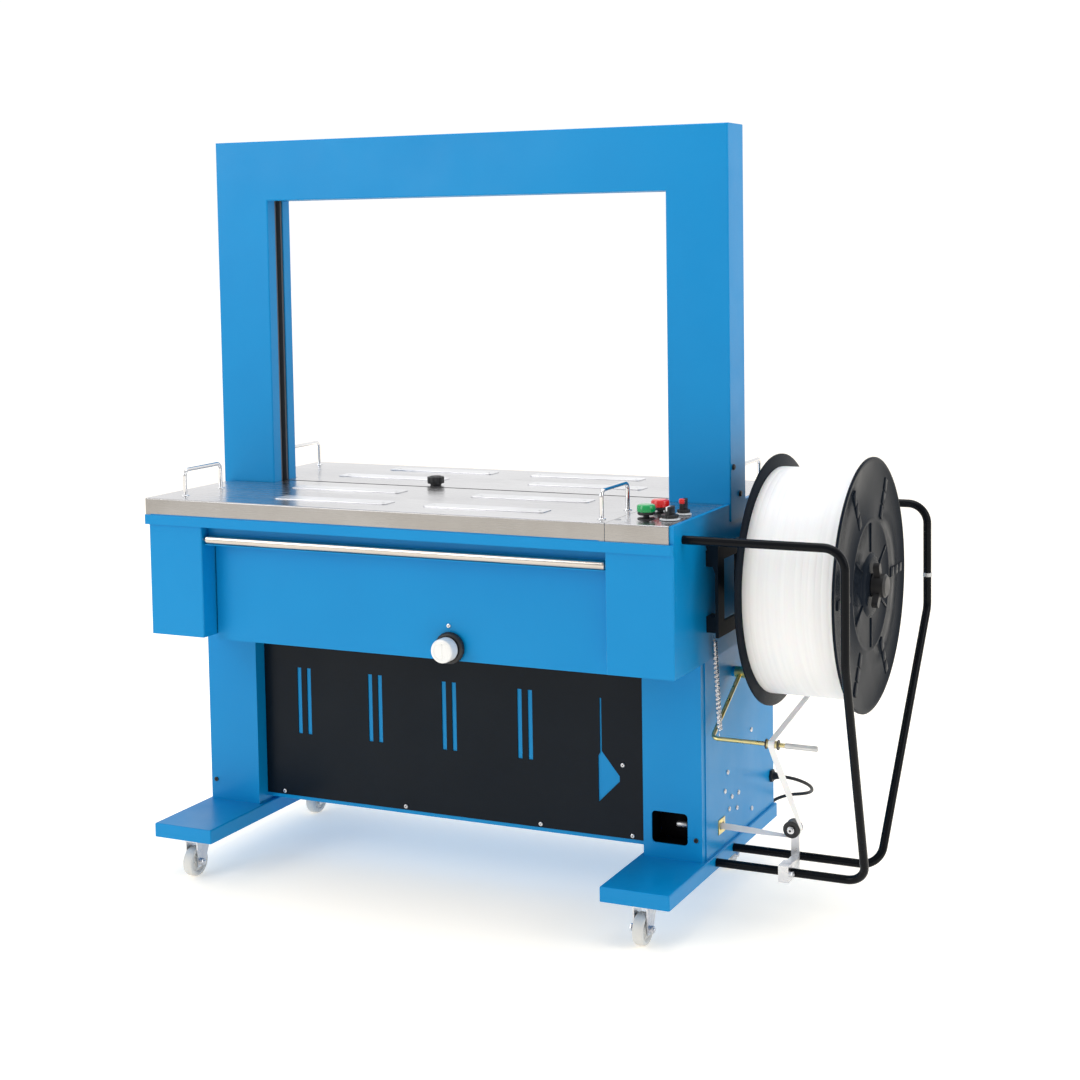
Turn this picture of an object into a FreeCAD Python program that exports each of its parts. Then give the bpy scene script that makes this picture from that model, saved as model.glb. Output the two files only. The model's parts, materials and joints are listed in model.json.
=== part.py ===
"""Arch strapping machine with a free-standing strap reel: table, arch, cabinet, castors and dispenser.

Frame: +X to the right along the table, +Y to the back, +Z up, Z = 0 on the floor.
The arch stands in the plane Y = arch_y and its middle is at X = arch_x. All sizes are millimetres.
"""
import FreeCAD, Part
import math
import os

import Sketcher

V = FreeCAD.Vector

# Driving dimensions. arch_x and arch_y put the origin under the middle of the whole machine.
SIZES = {
    # frame
    "arch_x": -151.5, "arch_y": 12.5,
    # arch
    "opening_w": 900, "opening_h": 594, "leg_w": 127, "beam_h": 124, "arch_d": 84, "sheet": 2.5,
    "track_w": 29, "track_d": 20, "track_back": 2, "slot_w": 30,
    # table
    "table_z": 775, "plate": 3, "lip": 33, "lip_t": 2, "table_front": 330, "table_rear": 305,
    "table_left": 563, "plate_right": 566, "split_x": 443, "strap_gap": 8, "hinge_r": 1.5,
    "wear_l": 256, "wear_w": 44, "wear_t": 1.5,
    "handle_h": 56, "handle_span": 120, "handle_r": 4, "handle_bend": 12,
    # body under the table
    "band_h": 19, "band_out": 5, "body_left": 556, "body_right": 575, "end_w": 130,
    "body_z": 501, "cover_z": 490, "recess": 43, "bar_r": 9, "bar_z": 697, "bar_out": 318,
    # legs and feet
    "foot_x": 493.5, "foot_w": 137, "foot_t": 28, "foot_top": 112, "foot_front": 335, "foot_rear": 262,
    "column_w": 119, "column_front": 149, "column_d": 200, "column_t": 3,
    # cabinet
    "cabinet_front": 119, "cabinet_rear": 257, "cabinet_z": 122, "cabinet_top": 497,
    # castors
    "wheel_r": 30, "wheel_w": 22, "castor_front": 275, "castor_rear": 175, "castor_trail": 20,
    # reel and dispenser
    "reel_x": 655, "reel_w": 185, "reel_z": 632, "flange_r": 238, "flange_t": 6, "coil_r": 214,
    "drum_r": 100, "shaft_r": 15, "tube_r": 8, "loop_x": 872, "loop_foot_x": 853, "loop_z": 745,
    "loop_low_z": 98, "loop_knee_z": 540, "loop_y": 284, "loop_front_foot": 95, "loop_rear_foot": 0,
    # strap path
    "arm_r": 4, "arm_roller_r": 7, "arm_y": 140, "arm_z": 350, "pivot_y": 20, "pivot_z": 440,
    "pulley_r": 15.5, "pulley_x": 700, "pulley_y": 53, "pulley_z": 168, "inlet_z": 156, "inlet_half": 10,
    "strap_w": 12, "strap_t": 1.2,
    # controls
    "key_x": 494, "key_pitch_x": 46, "key_front": 258, "key_pitch_y": 67,
    # power cord
    "cord_d": 7, "gland_y": 240, "gland_z": 174, "coil_x": 245, "coil_y": 386.1, "coil_mean_r": 40,
}


class Dim:
    """A size with the sheet expression behind it, so that sums of sizes stay bound to the sheet."""

    def __init__(self, value, text):
        self.value = float(value)
        self.text = text

    @staticmethod
    def of(size):
        return size if isinstance(size, Dim) else Dim(size, f"({float(size)})")

    def __add__(self, other):
        other = Dim.of(other)
        return Dim(self.value + other.value, f"({self.text} + {other.text})")

    def __sub__(self, other):
        other = Dim.of(other)
        return Dim(self.value - other.value, f"({self.text} - {other.text})")

    def __mul__(self, other):
        other = Dim.of(other)
        return Dim(self.value * other.value, f"({self.text} * {other.text})")

    def __truediv__(self, other):
        other = Dim.of(other)
        return Dim(self.value / other.value, f"({self.text} / {other.text})")

    def __neg__(self):
        return Dim(-self.value, f"(-1 * {self.text})")

    def __radd__(self, other):
        return Dim.of(other) + self

    def __rsub__(self, other):
        return Dim.of(other) - self

    def __rmul__(self, other):
        return Dim.of(other) * self


doc = FreeCAD.newDocument("strapping_machine")
sheet = doc.addObject("Spreadsheet::Sheet", "dims")
for row, (alias, size) in enumerate(SIZES.items(), start=1):
    sheet.set(f"A{row}", alias)
    sheet.set(f"B{row}", str(size))
    sheet.setAlias(f"B{row}", alias)
doc.recompute()


class Sheet:
    """The sheet's cells as attributes."""


D = Sheet()
for alias, size in SIZES.items():
    setattr(D, alias, Dim(size, f"dims.{alias}"))

# A local frame's Z turned along each axis: profile (u, v) lies in (Y, Z), (Z, X) or (X, Y).
ALONG = {
    "X": FreeCAD.Rotation(V(1, 1, 1), 120),
    "Y": FreeCAD.Rotation(V(1, 1, 1), 240),
    "Z": FreeCAD.Rotation(),
}
parts = []


def node(name, obj):
    """Names a finished sub-part; its label is its file's name."""
    obj.Label = name
    parts.append(obj)
    return obj


def place(obj, at, turn=FreeCAD.Rotation()):
    at = [Dim.of(size) for size in at]
    obj.Placement = FreeCAD.Placement(V(*[size.value for size in at]), turn)
    for letter, size in zip("xyz", at):
        obj.setExpression(f"Placement.Base.{letter}", size.text)
    return obj


def box(x, y, z):
    """A box between the two ends given for each axis."""
    obj = doc.addObject("Part::Box", "block")
    ends = [(Dim.of(low), Dim.of(high)) for low, high in (x, y, z)]
    for prop, (low, high) in zip(("Length", "Width", "Height"), ends):
        setattr(obj, prop, high.value - low.value)
        obj.setExpression(prop, (high - low).text)
    return place(obj, [low for low, _ in ends])


def rod(axis, start, radius, length):
    """A cylinder from start along an axis."""
    obj = doc.addObject("Part::Cylinder", "round")
    for prop, size in (("Radius", radius), ("Height", length)):
        size = Dim.of(size)
        setattr(obj, prop, size.value)
        obj.setExpression(prop, size.text)
    return place(obj, start, ALONG[axis])


def fuse(*shapes):
    obj = doc.addObject("Part::MultiFuse", "joined")
    obj.Shapes = list(shapes)
    obj.Refine = True
    return obj


def group(*shapes):
    """Separate solids that share one node."""
    obj = doc.addObject("Part::Compound", "set")
    obj.Links = list(shapes)
    return obj


def cut(base, *tools):
    obj = doc.addObject("Part::Cut", "cut")
    obj.Base = base
    obj.Tool = tools[0] if len(tools) == 1 else fuse(*tools)
    obj.Refine = True
    return obj


def add_loop(sketch, points):
    """A closed polygon whose corners are bound to the sheet."""
    corners = [(Dim.of(u), Dim.of(v)) for u, v in points]
    first = sketch.GeometryCount
    last = len(corners) - 1
    for i, (u, v) in enumerate(corners):
        u2, v2 = corners[(i + 1) % len(corners)]
        line = Part.LineSegment(V(u.value, v.value, 0), V(u2.value, v2.value, 0))
        sketch.addGeometry(line, False)
    for i, (u, v) in enumerate(corners):
        following = first if i == last else first + i + 1
        sketch.addConstraint(Sketcher.Constraint("Coincident", first + i, 2, following, 1))
        for kind, size in (("DistanceX", u), ("DistanceY", v)):
            limit = Sketcher.Constraint(kind, -1, 1, first + i, 1, size.value)
            sketch.setExpression(f"Constraints[{sketch.addConstraint(limit)}]", size.text)


def add_circle(sketch, centre, radius):
    u, v, r = Dim.of(centre[0]), Dim.of(centre[1]), Dim.of(radius)
    index = sketch.addGeometry(Part.Circle(V(u.value, v.value, 0), V(0, 0, 1), r.value), False)
    limits = [
        (Sketcher.Constraint("DistanceX", -1, 1, index, 3, u.value), u),
        (Sketcher.Constraint("DistanceY", -1, 1, index, 3, v.value), v),
        (Sketcher.Constraint("Radius", index, r.value), r),
    ]
    for limit, size in limits:
        sketch.setExpression(f"Constraints[{sketch.addConstraint(limit)}]", size.text)


def new_sketch(body, role):
    sketch = body.newObject("Sketcher::SketchObject", "profile")
    plane = [f for f in body.Origin.OriginFeatures if f.Role == role][0]
    sketch.AttachmentSupport = [(plane, "")]
    sketch.MapMode = "FlatFace"
    return sketch


def extrude(axis, start, length, outline, holes=(), circles=()):
    """A body padded along an axis from start; the outline is in the two axes that follow it."""
    body = doc.addObject("PartDesign::Body", "body")
    sketch = new_sketch(body, "XY_Plane")
    add_loop(sketch, outline)
    for hole in holes:
        add_loop(sketch, hole)
    for centre, radius in circles:
        add_circle(sketch, centre, radius)
    pad = body.newObject("PartDesign::Pad", "pad")
    pad.Profile = sketch
    length = Dim.of(length)
    pad.Length = length.value
    pad.setExpression("Length", length.text)
    body.Tip = pad
    return place(body, start, ALONG[axis])


def turn(axis, start, outline):
    """A turned body about an axis through start; the outline is (radius, distance along the axis)."""
    body = doc.addObject("PartDesign::Body", "body")
    sketch = new_sketch(body, "XZ_Plane")
    add_loop(sketch, outline)
    spin = body.newObject("PartDesign::Revolution", "spin")
    spin.Profile = sketch
    spin.ReferenceAxis = (sketch, ["V_Axis"])
    spin.Angle = 360
    body.Tip = spin
    return place(body, start, ALONG[axis])


def rect(u, v):
    return [(u[0], v[0]), (u[1], v[0]), (u[1], v[1]), (u[0], v[1])]


def rounded(obj, radius, pick):
    """Rounds the edges that pick chooses from their middle point and direction."""
    doc.recompute()
    chosen = []
    for number, edge in enumerate(obj.Shape.Edges, start=1):
        if not isinstance(edge.Curve, (Part.Line, Part.LineSegment)):
            continue
        way = edge.Vertexes[1].Point - edge.Vertexes[0].Point
        if pick(edge.CenterOfMass, way.normalize()):
            chosen.append((number, radius, radius))
    fillet = doc.addObject("Part::Fillet", "rounded")
    fillet.Base = obj
    fillet.Edges = chosen
    return fillet


def pipe(points, radius, bends=None):
    """A round tube along straight runs joined by tangent arcs; returns its shape, length and radii."""
    knots = [V(*[Dim.of(size).value for size in point]) for point in points]
    start, edges, radii = knots[0], [], []
    for i in range(1, len(knots) - 1):
        back = (knots[i - 1] - knots[i])
        ahead = (knots[i + 1] - knots[i])
        half = (math.pi - back.getAngle(ahead)) / 2
        if bends is None:
            bend = 0.45 * min(back.Length, ahead.Length) / math.tan(half)
        else:
            bend = bends
        reach = bend * math.tan(half)
        back.normalize()
        ahead.normalize()
        first, last = knots[i] + back * reach, knots[i] + ahead * reach
        inward = (back + ahead).normalize()
        middle = knots[i] + inward * (bend / math.cos(half) - bend)
        edges.append(Part.LineSegment(start, first).toShape())
        edges.append(Part.Arc(first, middle, last).toShape())
        radii.append(round(bend, 1))
        start = last
    edges.append(Part.LineSegment(start, knots[-1]).toShape())
    path = Part.Wire(edges)
    circle = Part.Circle(knots[0], knots[1] - knots[0], radius)
    tube = path.makePipeShell([Part.Wire([circle.toShape()])], True, False, 2)
    drift = tube.Volume / (math.pi * radius ** 2 * path.Length) - 1
    if abs(drift) > 0.005:
        raise RuntimeError(f"tube volume is off by {drift:.3f}")
    return tube, path.Length, radii


def feature(shape):
    obj = doc.addObject("Part::Feature", "shape")
    obj.Shape = shape
    return obj


def at_x(size):
    return D.arch_x + size


def at_y(size):
    return D.arch_y + size


# ---------------------------------------------------------------- feet, columns and castors


def foot(name, side):
    """A steel channel foot, with its long edges folded down."""
    x = at_x(side * D.foot_x)
    half = D.foot_w / 2
    block = box(
        (x - half, x + half),
        (at_y(-D.foot_front), at_y(D.foot_rear)),
        (D.foot_top - D.foot_t, D.foot_top),
    )
    node(name, rounded(block, 3, lambda p, way: abs(way.z) > 0.9 or p.z > 111))


def column(name, side, window):
    """A square sheet-metal column between the foot and the table frame."""
    x = at_x(side * (D.foot_x + 1))
    half = D.column_w / 2
    y0 = at_y(-D.column_front)
    t = D.column_t
    outline = rect((x - half, x + half), (y0, y0 + D.column_d))
    hollow = rect((x - half + t, x + half - t), (y0 + t, y0 + D.column_d - t))
    z0 = D.foot_top
    height = D.table_z - D.lip - D.band_h - z0
    post = extrude("Z", (0, 0, z0), height, outline, [hollow])
    if window:
        hatch = box((at_x(452), at_x(525)), (y0 - 1, y0 + t + 1), (141, 202))
        soft = rounded(hatch, 8, lambda p, way: abs(way.y) > 0.9)
        pulley_y = at_y(-D.pulley_y)
        inlet_zs = (D.inlet_z - D.inlet_half, D.inlet_z + D.inlet_half)
        inlet = box((x + half - t - 1, x + half + 1), (pulley_y - 11, pulley_y + 11), inlet_zs)
        post = cut(post, soft, inlet)
    node(name, post)


def castor(name, side, reach):
    """A swivel castor: a bent fork on a kingpin plate and a solid wheel on its axle."""
    x = at_x(side * D.foot_x)
    y = at_y(reach)
    top = D.foot_top - D.foot_t
    axle_y = y - D.castor_trail
    half = D.wheel_w / 2
    race = rod("Z", (x, y, top - 8.3), 24, 8)
    crown = box((x - half - 4, x + half + 4), (axle_y - 14, y + 18), (top - 12, top - 8))
    cheeks = []
    for inner, outer in ((half + 1, half + 4), (-half - 4, -half - 1)):
        profile = [
            (axle_y - 12, top - 9), (y + 14, top - 9),
            (axle_y + 11, D.wheel_r - 9), (axle_y - 11, D.wheel_r - 9),
        ]
        cheeks.append(extrude("X", (x + inner, 0, 0), outer - inner, profile))
    axle = rod("X", (x - half - 8, axle_y, D.wheel_r), 4, D.wheel_w + 16)
    nut = rod("X", (x + half + 4, axle_y, D.wheel_r), 7, 4)
    node(f"{name}_fork", fuse(race, crown, *cheeks, axle, nut))
    w, r = half, D.wheel_r
    profile = [
        (4.08, -w + 1), (12, -w + 1), (12, -w + 3), (r - 8, -w + 3), (r - 6, -w), (r - 2, -w),
        (r, -w + 3), (r, w - 3), (r - 2, w), (r - 6, w), (r - 8, w - 3), (12, w - 3),
        (12, w - 1), (4.08, w - 1),
    ]
    node(f"{name}_wheel", turn("X", (x, axle_y, D.wheel_r), profile))


def undercarriage():
    foot("left_foot", -1)
    foot("right_foot", 1)
    column("left_column", -1, window=False)
    column("right_column", 1, window=True)
    for name, side, reach in (
        ("front_left", -1, -D.castor_front), ("front_right", 1, -D.castor_front),
        ("rear_left", -1, D.castor_rear), ("rear_right", 1, D.castor_rear),
    ):
        castor(name, side, reach)


# ---------------------------------------------------------------- body under the table


def table_frame():
    """The band under the lips, the rail behind the cover's bar, the ledge and the plates' hinge pins."""
    low = D.table_z - D.lip - D.band_h
    mid = D.table_z - D.lip
    top = D.table_z - D.plate
    left, right = at_x(-D.table_left - 1), at_x(D.body_right)
    front, rear = at_y(-D.table_front - D.band_out), at_y(D.table_rear + D.band_out)
    band = box((left, right), (front, rear), (low, mid))
    soft = rounded(band, 4, lambda p, way: abs(way.z) > 0.9)
    hole = box((left + 40, right - 40), (front + 45, rear - 45), (low - 1, mid + 1))
    inset = D.lip_t + 0.5
    ledge = box(
        (at_x(-D.table_left) + inset, at_x(D.plate_right) + 0.5),
        (at_y(-D.table_front) + inset, at_y(D.table_rear) - inset),
        (mid, top),
    )
    well = box(
        (at_x(-D.table_left) + 30, at_x(D.plate_right) - 27),
        (at_y(-D.table_front) + 30, at_y(D.table_rear) - 30),
        (mid - 1, top + 1),
    )
    rim_x = (at_x(D.plate_right) + 0.5, right)
    rim = box(rim_x, (at_y(-D.table_front) + inset, at_y(-44)), (mid, D.table_z))
    rear_rim = box(rim_x, (at_y(44), at_y(D.table_rear) - 8), (mid, D.table_z))
    behind_bar = at_y(-D.bar_out) + D.bar_r + 2
    rail = box(
        (at_x(-D.body_left + D.end_w - 4) + 0.5, at_x(D.split_x) - 0.5),
        (behind_bar, behind_bar + D.lip_t),
        (D.bar_z - D.bar_r + 2, low + 1),
    )
    half = D.arch_d / 2 + 0.5
    inner = D.opening_w / 2
    seats = [
        box((at_x(-inner - D.leg_w - 1), at_x(-inner + 1)), (at_y(-half), at_y(half)), (mid, top + 4)),
        box((at_x(inner - 1), at_x(inner + D.leg_w + 1)), (at_y(-half), at_y(half)), (mid, top + 4)),
    ]
    left_end, right_end = at_x(-D.table_left) + 12, at_x(D.split_x) - 12
    pins = [
        rod("X", (left_end, at_y(-D.table_front), mid), D.hinge_r, right_end - left_end),
        rod("X", (left_end, at_y(D.table_rear), mid), D.hinge_r, at_x(D.plate_right) - 12 - left_end),
    ]
    frame = fuse(cut(soft, hole), cut(ledge, well), rim, rear_rim, rail, *pins)
    node("table_frame", cut(frame, *seats))


def end_cover(name, outer, inner, side):
    """A folded end box: front, outer side, floor and a short return beside the front cover."""
    t = D.lip_t
    low, high = D.body_z, D.table_z - D.lip - D.band_h
    front, rear = at_y(-D.table_front), at_y(D.table_rear) - 5
    x0, x1 = (outer, inner) if side < 0 else (inner, outer)
    shell = box((x0, x1), (front, rear), (low, high))
    soft = rounded(shell, 3, lambda p, way: abs(way.z) > 0.9 and p.y < -200)
    room = box((x0 + t, x1 - t), (front + t, rear + 1), (low + t, high + 1))
    open_side = (x1 - t - 1, x1 + 1) if side < 0 else (x0 - 1, x0 + t + 1)
    gap = box(open_side, (front + D.recess + 2, rear + 1), (low - 1, high + 1))
    post_x = at_x(side * (D.foot_x + 1))
    half = D.column_w / 2 + 0.2
    post_y = at_y(-D.column_front)
    post_ys = (post_y - 0.2, post_y + D.column_d + 0.2)
    post = box((post_x - half, post_x + half), post_ys, (low - 1, low + t + 1))
    pin = rod("X", (x0 - 1 if side > 0 else x1 - t - 1, at_y(-D.bar_out), D.bar_z), 4.06, t + 2)
    node(name, cut(soft, room, gap, post, pin))


def front_cover():
    """The hinged cover between the end boxes, hung on a polished bar, with its quarter-turn latch."""
    x0, x1 = at_x(-D.body_left + D.end_w - 4 + 3), at_x(D.split_x - 2)
    face = at_y(-D.table_front + D.recess)
    bar_y, bar_z, r = at_y(-D.bar_out), D.bar_z, D.bar_r
    shelf = bar_z - r
    profile = [
        (bar_y - 4, shelf), (bar_y - 4, shelf - 2), (face, shelf - 2), (face, D.cover_z),
        (face + 12, D.cover_z), (face + 12, D.cover_z + 2), (face + 2, D.cover_z + 2), (face + 2, shelf),
    ]
    node("front_cover", extrude("X", (x0, 0, 0), x1 - x0, profile))
    bar = rod("X", (x0 + 1, bar_y, bar_z), r, x1 - x0 - 2)
    pin = rod("X", (x0 - 5, bar_y, bar_z), 4, x1 - x0 + 10)
    ball = rounded_ends(bar)
    node("cover_hinge_bar", fuse(ball, pin))
    knob_x, knob_z = at_x(104), 515
    ring = [(0, 0), (26, 0), (30, -4), (30, -10), (27, -13), (0, -13)]
    node("latch_base", turn("Y", (knob_x, face, knob_z), ring))
    cap = [(0, -13.3), (19, -13.3), (22, -17), (23, -36), (20, -40), (0, -40)]
    node("latch_knob", turn("Y", (knob_x, face, knob_z), cap))


def rounded_ends(bar):
    """Rounds both rims of a cylinder."""
    doc.recompute()
    rims = []
    for number, edge in enumerate(bar.Shape.Edges, start=1):
        if isinstance(edge.Curve, Part.Circle):
            rims.append((number, 4, 4))
    fillet = doc.addObject("Part::Fillet", "rounded")
    fillet.Base = bar
    fillet.Edges = rims
    return fillet


def housing():
    table_frame()
    end_cover("left_end_cover", at_x(-D.body_left), at_x(-D.body_left + D.end_w - 4), -1)
    end_cover("right_end_cover", at_x(D.body_right), at_x(D.split_x), 1)
    rear = at_y(D.table_rear) - 5
    top = D.table_z - D.lip - D.band_h
    x0, x1 = at_x(-D.body_left), at_x(D.body_right)
    panel = box((x0, x1), (rear, rear + 2), (D.body_z, top))
    fold = box((at_x(-430), at_x(430)), (rear - 20, rear + 2), (D.body_z, D.body_z + 2))
    node("rear_cover", fuse(panel, fold))
    front_cover()


# ---------------------------------------------------------------- table


def plate_with_lips(x, y, lips, notches, hinged=True):
    """A folded steel plate; lips names its folded sides and notches are the arch legs' corners."""
    z1, z0 = D.table_z, D.table_z - D.plate
    t, low = D.lip_t, D.table_z - D.lip
    pieces = [box(x, y, (z0, z1))]
    if "front" in lips:
        pieces.append(box(x, (y[0], y[0] + t), (low, z0)))
    if "rear" in lips:
        pieces.append(box(x, (y[1] - t, y[1]), (low, z0)))
    if "left" in lips:
        side_y = (y[0], at_y(-46)) if "front" in lips else (at_y(46), y[1])
        pieces.append(box((x[0], x[0] + t), side_y, (low, z0)))
    plate = fuse(*pieces)
    cutters = []
    for side in notches:
        inner = D.opening_w / 2 - 1
        outer = D.opening_w / 2 + D.leg_w + 2
        half = D.arch_d / 2 + 4
        span = (at_x(-outer), at_x(-inner)) if side < 0 else (at_x(inner), at_x(outer))
        cutters.append(box(span, (at_y(-half), at_y(half)), (low - 1, z1 + 1)))
    if hinged:
        hinge_y = y[0] if "front" in lips else y[1]
        cutters.append(rod("X", (x[0] + 11.5, hinge_y, low), D.hinge_r + 0.06, x[1] - x[0] - 23))
    if cutters:
        plate = cut(plate, *cutters)
    high = z1.value - 0.1
    low_y, high_y = Dim.of(y[0]).value, Dim.of(y[1]).value
    lip_y = low_y if "front" in lips else high_y

    def at_lip(p, way):
        return abs(way.x) > 0.9 and p.z > high and abs(p.y - lip_y) < 0.5

    return rounded(plate, 2.5, at_lip)


def wear_strips(name, rows):
    """Low-friction strips, let in from above, with rounded ends."""
    strips = []
    for x, y in rows:
        half_l, half_w = D.wear_l / 2, D.wear_w / 2
        strip = box(
            (at_x(x) - half_l, at_x(x) + half_l), (at_y(y) - half_w, at_y(y) + half_w),
            (D.table_z, D.table_z + D.wear_t),
        )
        strips.append(rounded(strip, 8, lambda p, way: abs(way.z) > 0.9))
    node(name, group(*strips))


def handle(x, y):
    """A bent round handle along Y, standing on the table plate."""
    z, top = D.table_z, D.table_z + D.handle_h - D.handle_r
    half = D.handle_span / 2
    knots = [(x, y - half, z), (x, y - half, top), (x, y + half, top), (x, y + half, z)]
    tube, _, _ = pipe(knots, SIZES["handle_r"], SIZES["handle_bend"])
    return feature(tube)


def table():
    gap = D.strap_gap / 2
    front_y = (at_y(-D.table_front), at_y(-gap))
    rear_y = (at_y(gap), at_y(D.table_rear))
    left = at_x(-D.table_left)
    front = plate_with_lips((left, at_x(D.split_x) - 0.5), front_y, ("front", "left"), (-1,))
    node("front_table_plate", front)
    rear = plate_with_lips((left, at_x(D.plate_right)), rear_y, ("rear", "left"), (-1, 1))
    node("rear_table_plate", rear)
    side = (at_x(D.split_x) + 0.5, at_x(D.plate_right))
    control = plate_with_lips(side, (front_y[0], at_y(-D.arch_d / 2 - 1)), ("front",), (), hinged=False)
    bores = [rod("Z", (at_x(D.key_x), at_y(y), D.table_z - 10), 6.4, 20) for y in button_rows()]
    node("control_plate", cut(control, *bores))
    wear_strips("front_wear_strips", ((-236, -88), (182, -88), (-179, -236), (158, -236)))
    wear_strips("rear_wear_strips", ((-248, 112), (208, 112), (-196, 240), (151, 240)))
    node("front_handles", group(handle(at_x(-505), at_y(-217)), handle(at_x(419), at_y(-228))))
    node("rear_handles", group(handle(at_x(-530), at_y(197)), handle(at_x(530), at_y(197))))
    lock = [(0, 0.3), (15, 0.3), (17.5, 3), (17.5, 15), (14, 20), (0, 20)]
    node("table_lock_knob", turn("Z", (at_x(-98), at_y(27), D.table_z), lock))


# ---------------------------------------------------------------- arch


def arch():
    """The hollow portal with a slot along its inner faces, and the bars of the strap track inside it."""
    half_w, leg, d = D.opening_w / 2, D.leg_w, D.arch_d / 2
    foot_z, sill = D.table_z - D.lip, D.table_z + D.opening_h
    crown = sill + D.beam_h
    t = D.sheet
    outer = box((at_x(-half_w - leg), at_x(half_w + leg)), (at_y(-d), at_y(d)), (foot_z, crown))
    opening = box((at_x(-half_w), at_x(half_w)), (at_y(-d - 1), at_y(d + 1)), (foot_z - 1, sill))
    portal = rounded(cut(outer, opening), 3, lambda p, way: abs(p.y - SIZES["arch_y"]) > 40)
    room = cut(
        box(
            (at_x(-half_w - leg + t), at_x(half_w + leg - t)), (at_y(-d + t), at_y(d - t)),
            (foot_z - 1, crown - t),
        ),
        box((at_x(-half_w - t), at_x(half_w + t)), (at_y(-d), at_y(d)), (foot_z - 2, sill + t)),
    )
    s = D.slot_w / 2
    slot = box(
        (at_x(-half_w - t - 1), at_x(half_w + t + 1)), (at_y(-s), at_y(s)),
        (D.table_z - 20, sill + t + 1),
    )
    node("arch_housing", cut(portal, room, slot))
    w, groove = D.track_w / 2, 8
    mouth = half_w + D.track_back
    floor = mouth + 12
    outside = mouth + D.track_d
    foot, top = D.table_z - 10, sill + D.track_back
    bars = []
    for a, b in ((-outside, -floor), (floor, outside)):
        bars.append(box((at_x(a), at_x(b)), (at_y(-w), at_y(w)), (foot, top + 12)))
    bars.append(box((at_x(-outside), at_x(outside)), (at_y(-w), at_y(w)), (top + 12, top + D.track_d)))
    for y in ((at_y(-w), at_y(-groove)), (at_y(groove), at_y(w))):
        for a, b in ((-floor, -mouth), (mouth, floor)):
            bars.append(box((at_x(a), at_x(b)), y, (foot, top)))
        bars.append(box((at_x(-floor), at_x(floor)), y, (top, top + 12)))
    node("arch_track", group(*bars))


# ---------------------------------------------------------------- controls


def button_rows():
    return -D.key_front, -D.key_front + D.key_pitch_y


def push_button(name, x, y, cap_r, rise):
    """A cap on a plunger that runs through the control plate."""
    z = D.table_z
    profile = [
        (0, -14), (6, -14), (6, 7), (cap_r, 7), (cap_r + 1, 9),
        (cap_r + 1, rise - 3), (cap_r - 2, rise), (0, rise),
    ]
    node(name, turn("Z", (x, y, z), profile))


def dial(name, x, y, radius, height):
    """A round knob with a raised grip bar across it."""
    z = D.table_z
    profile = [(0, 1), (radius, 1), (radius, 6), (radius - 4, 9), (0, 9)]
    skirt = turn("Z", (x, y, z), profile)
    grip = box((x - 4, x + 4), (y - radius + 3, y + radius - 3), (z + 8, z + height))
    soft = rounded(grip, 2.5, lambda p, way: abs(way.z) > 0.9)
    node(name, fuse(skirt, soft))


def controls():
    left, right = at_x(D.key_x), at_x(D.key_x + D.key_pitch_x)
    front, rear = [at_y(y) for y in button_rows()]
    push_button("start_button", left, front, 16, 27)
    push_button("stop_button", left, rear, 16, 27)
    dial("tension_knob", right, front, 19, 25)
    dial("mode_selector", right, rear, 15, 30)


# ---------------------------------------------------------------- sealing head and drive


def sealing_head():
    """The strap sealing head under the gap, its cam shaft and motor, and the feed rollers."""
    y0, top = at_y(0), D.table_z - 8
    base = box((at_x(-90), at_x(90)), (y0 - 60, y0 + 60), (596, 606))
    cheeks = [
        box((at_x(-40), at_x(-30)), (y0 - 50, y0 + 50), (606, top)),
        box((at_x(30), at_x(40)), (y0 - 50, y0 + 50), (606, top)),
    ]
    anvil = box((at_x(-40), at_x(40)), (y0 - 20, y0 + 20), (top - 9, top))
    hanger = box((at_x(-435), at_x(435)), (y0 + 40, y0 + 60), (572, 596))
    bores = rod("X", (at_x(-50), y0, 660), 10.08, 100)
    feed_plate = box((at_x(115), at_x(185)), (y0 + 14, y0 + 22), (560, 725))
    feed_foot = box((at_x(115), at_x(185)), (y0 + 14, y0 + 60), (596, 600))
    feed_pins = [rod("Y", (at_x(150), y0 - 14, z), 5, 30) for z in (690, 645.6)]
    bracket = fuse(feed_plate, feed_foot, *feed_pins)
    node("head_frame", cut(fuse(base, *cheeks, anvil, hanger, bracket), bores))
    press = box((at_x(-29), at_x(29)), (y0 - 14, y0 + 14), (694, top - 22))
    node("gripper_press", press)
    shaft = rod("X", (at_x(-56), y0, 660), 10, 150)
    cams = [rod("X", (at_x(x), y0 + 6, 660), 20, 12) for x in (-24, -6, 12)]
    wheel = rod("X", (at_x(60), y0, 660), 45, 14)
    node("cam_shaft", fuse(shaft, *cams, wheel))
    motor = rod("X", (at_x(-250), y0 + 160, 640), 55, 180)
    gearbox = box((at_x(-70), at_x(-20)), (y0 + 110, y0 + 210), (585, 695))
    legs = box((at_x(-210), at_x(-110)), (y0 + 140, y0 + 180), (507, 600))
    shelf = box((at_x(-500), at_x(500)), (y0 + 130, y0 + 190), (503, 507))
    node("drive_motor", fuse(motor, gearbox, legs, shelf))
    roller = [(5.08, 0), (12, 0), (12, 3), (28, 3), (28, 17), (12, 17), (12, 20), (5.08, 20)]
    node("feed_roller", turn("Y", (at_x(150), y0 - 10, 690), roller))
    pinch = [(5.08, 0), (8, 0), (8, 3), (16, 3), (16, 17), (8, 17), (8, 20), (5.08, 20)]
    node("pinch_roller", turn("Y", (at_x(150), y0 - 10, 690 - 44.4), pinch))


# ---------------------------------------------------------------- cabinet


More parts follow.
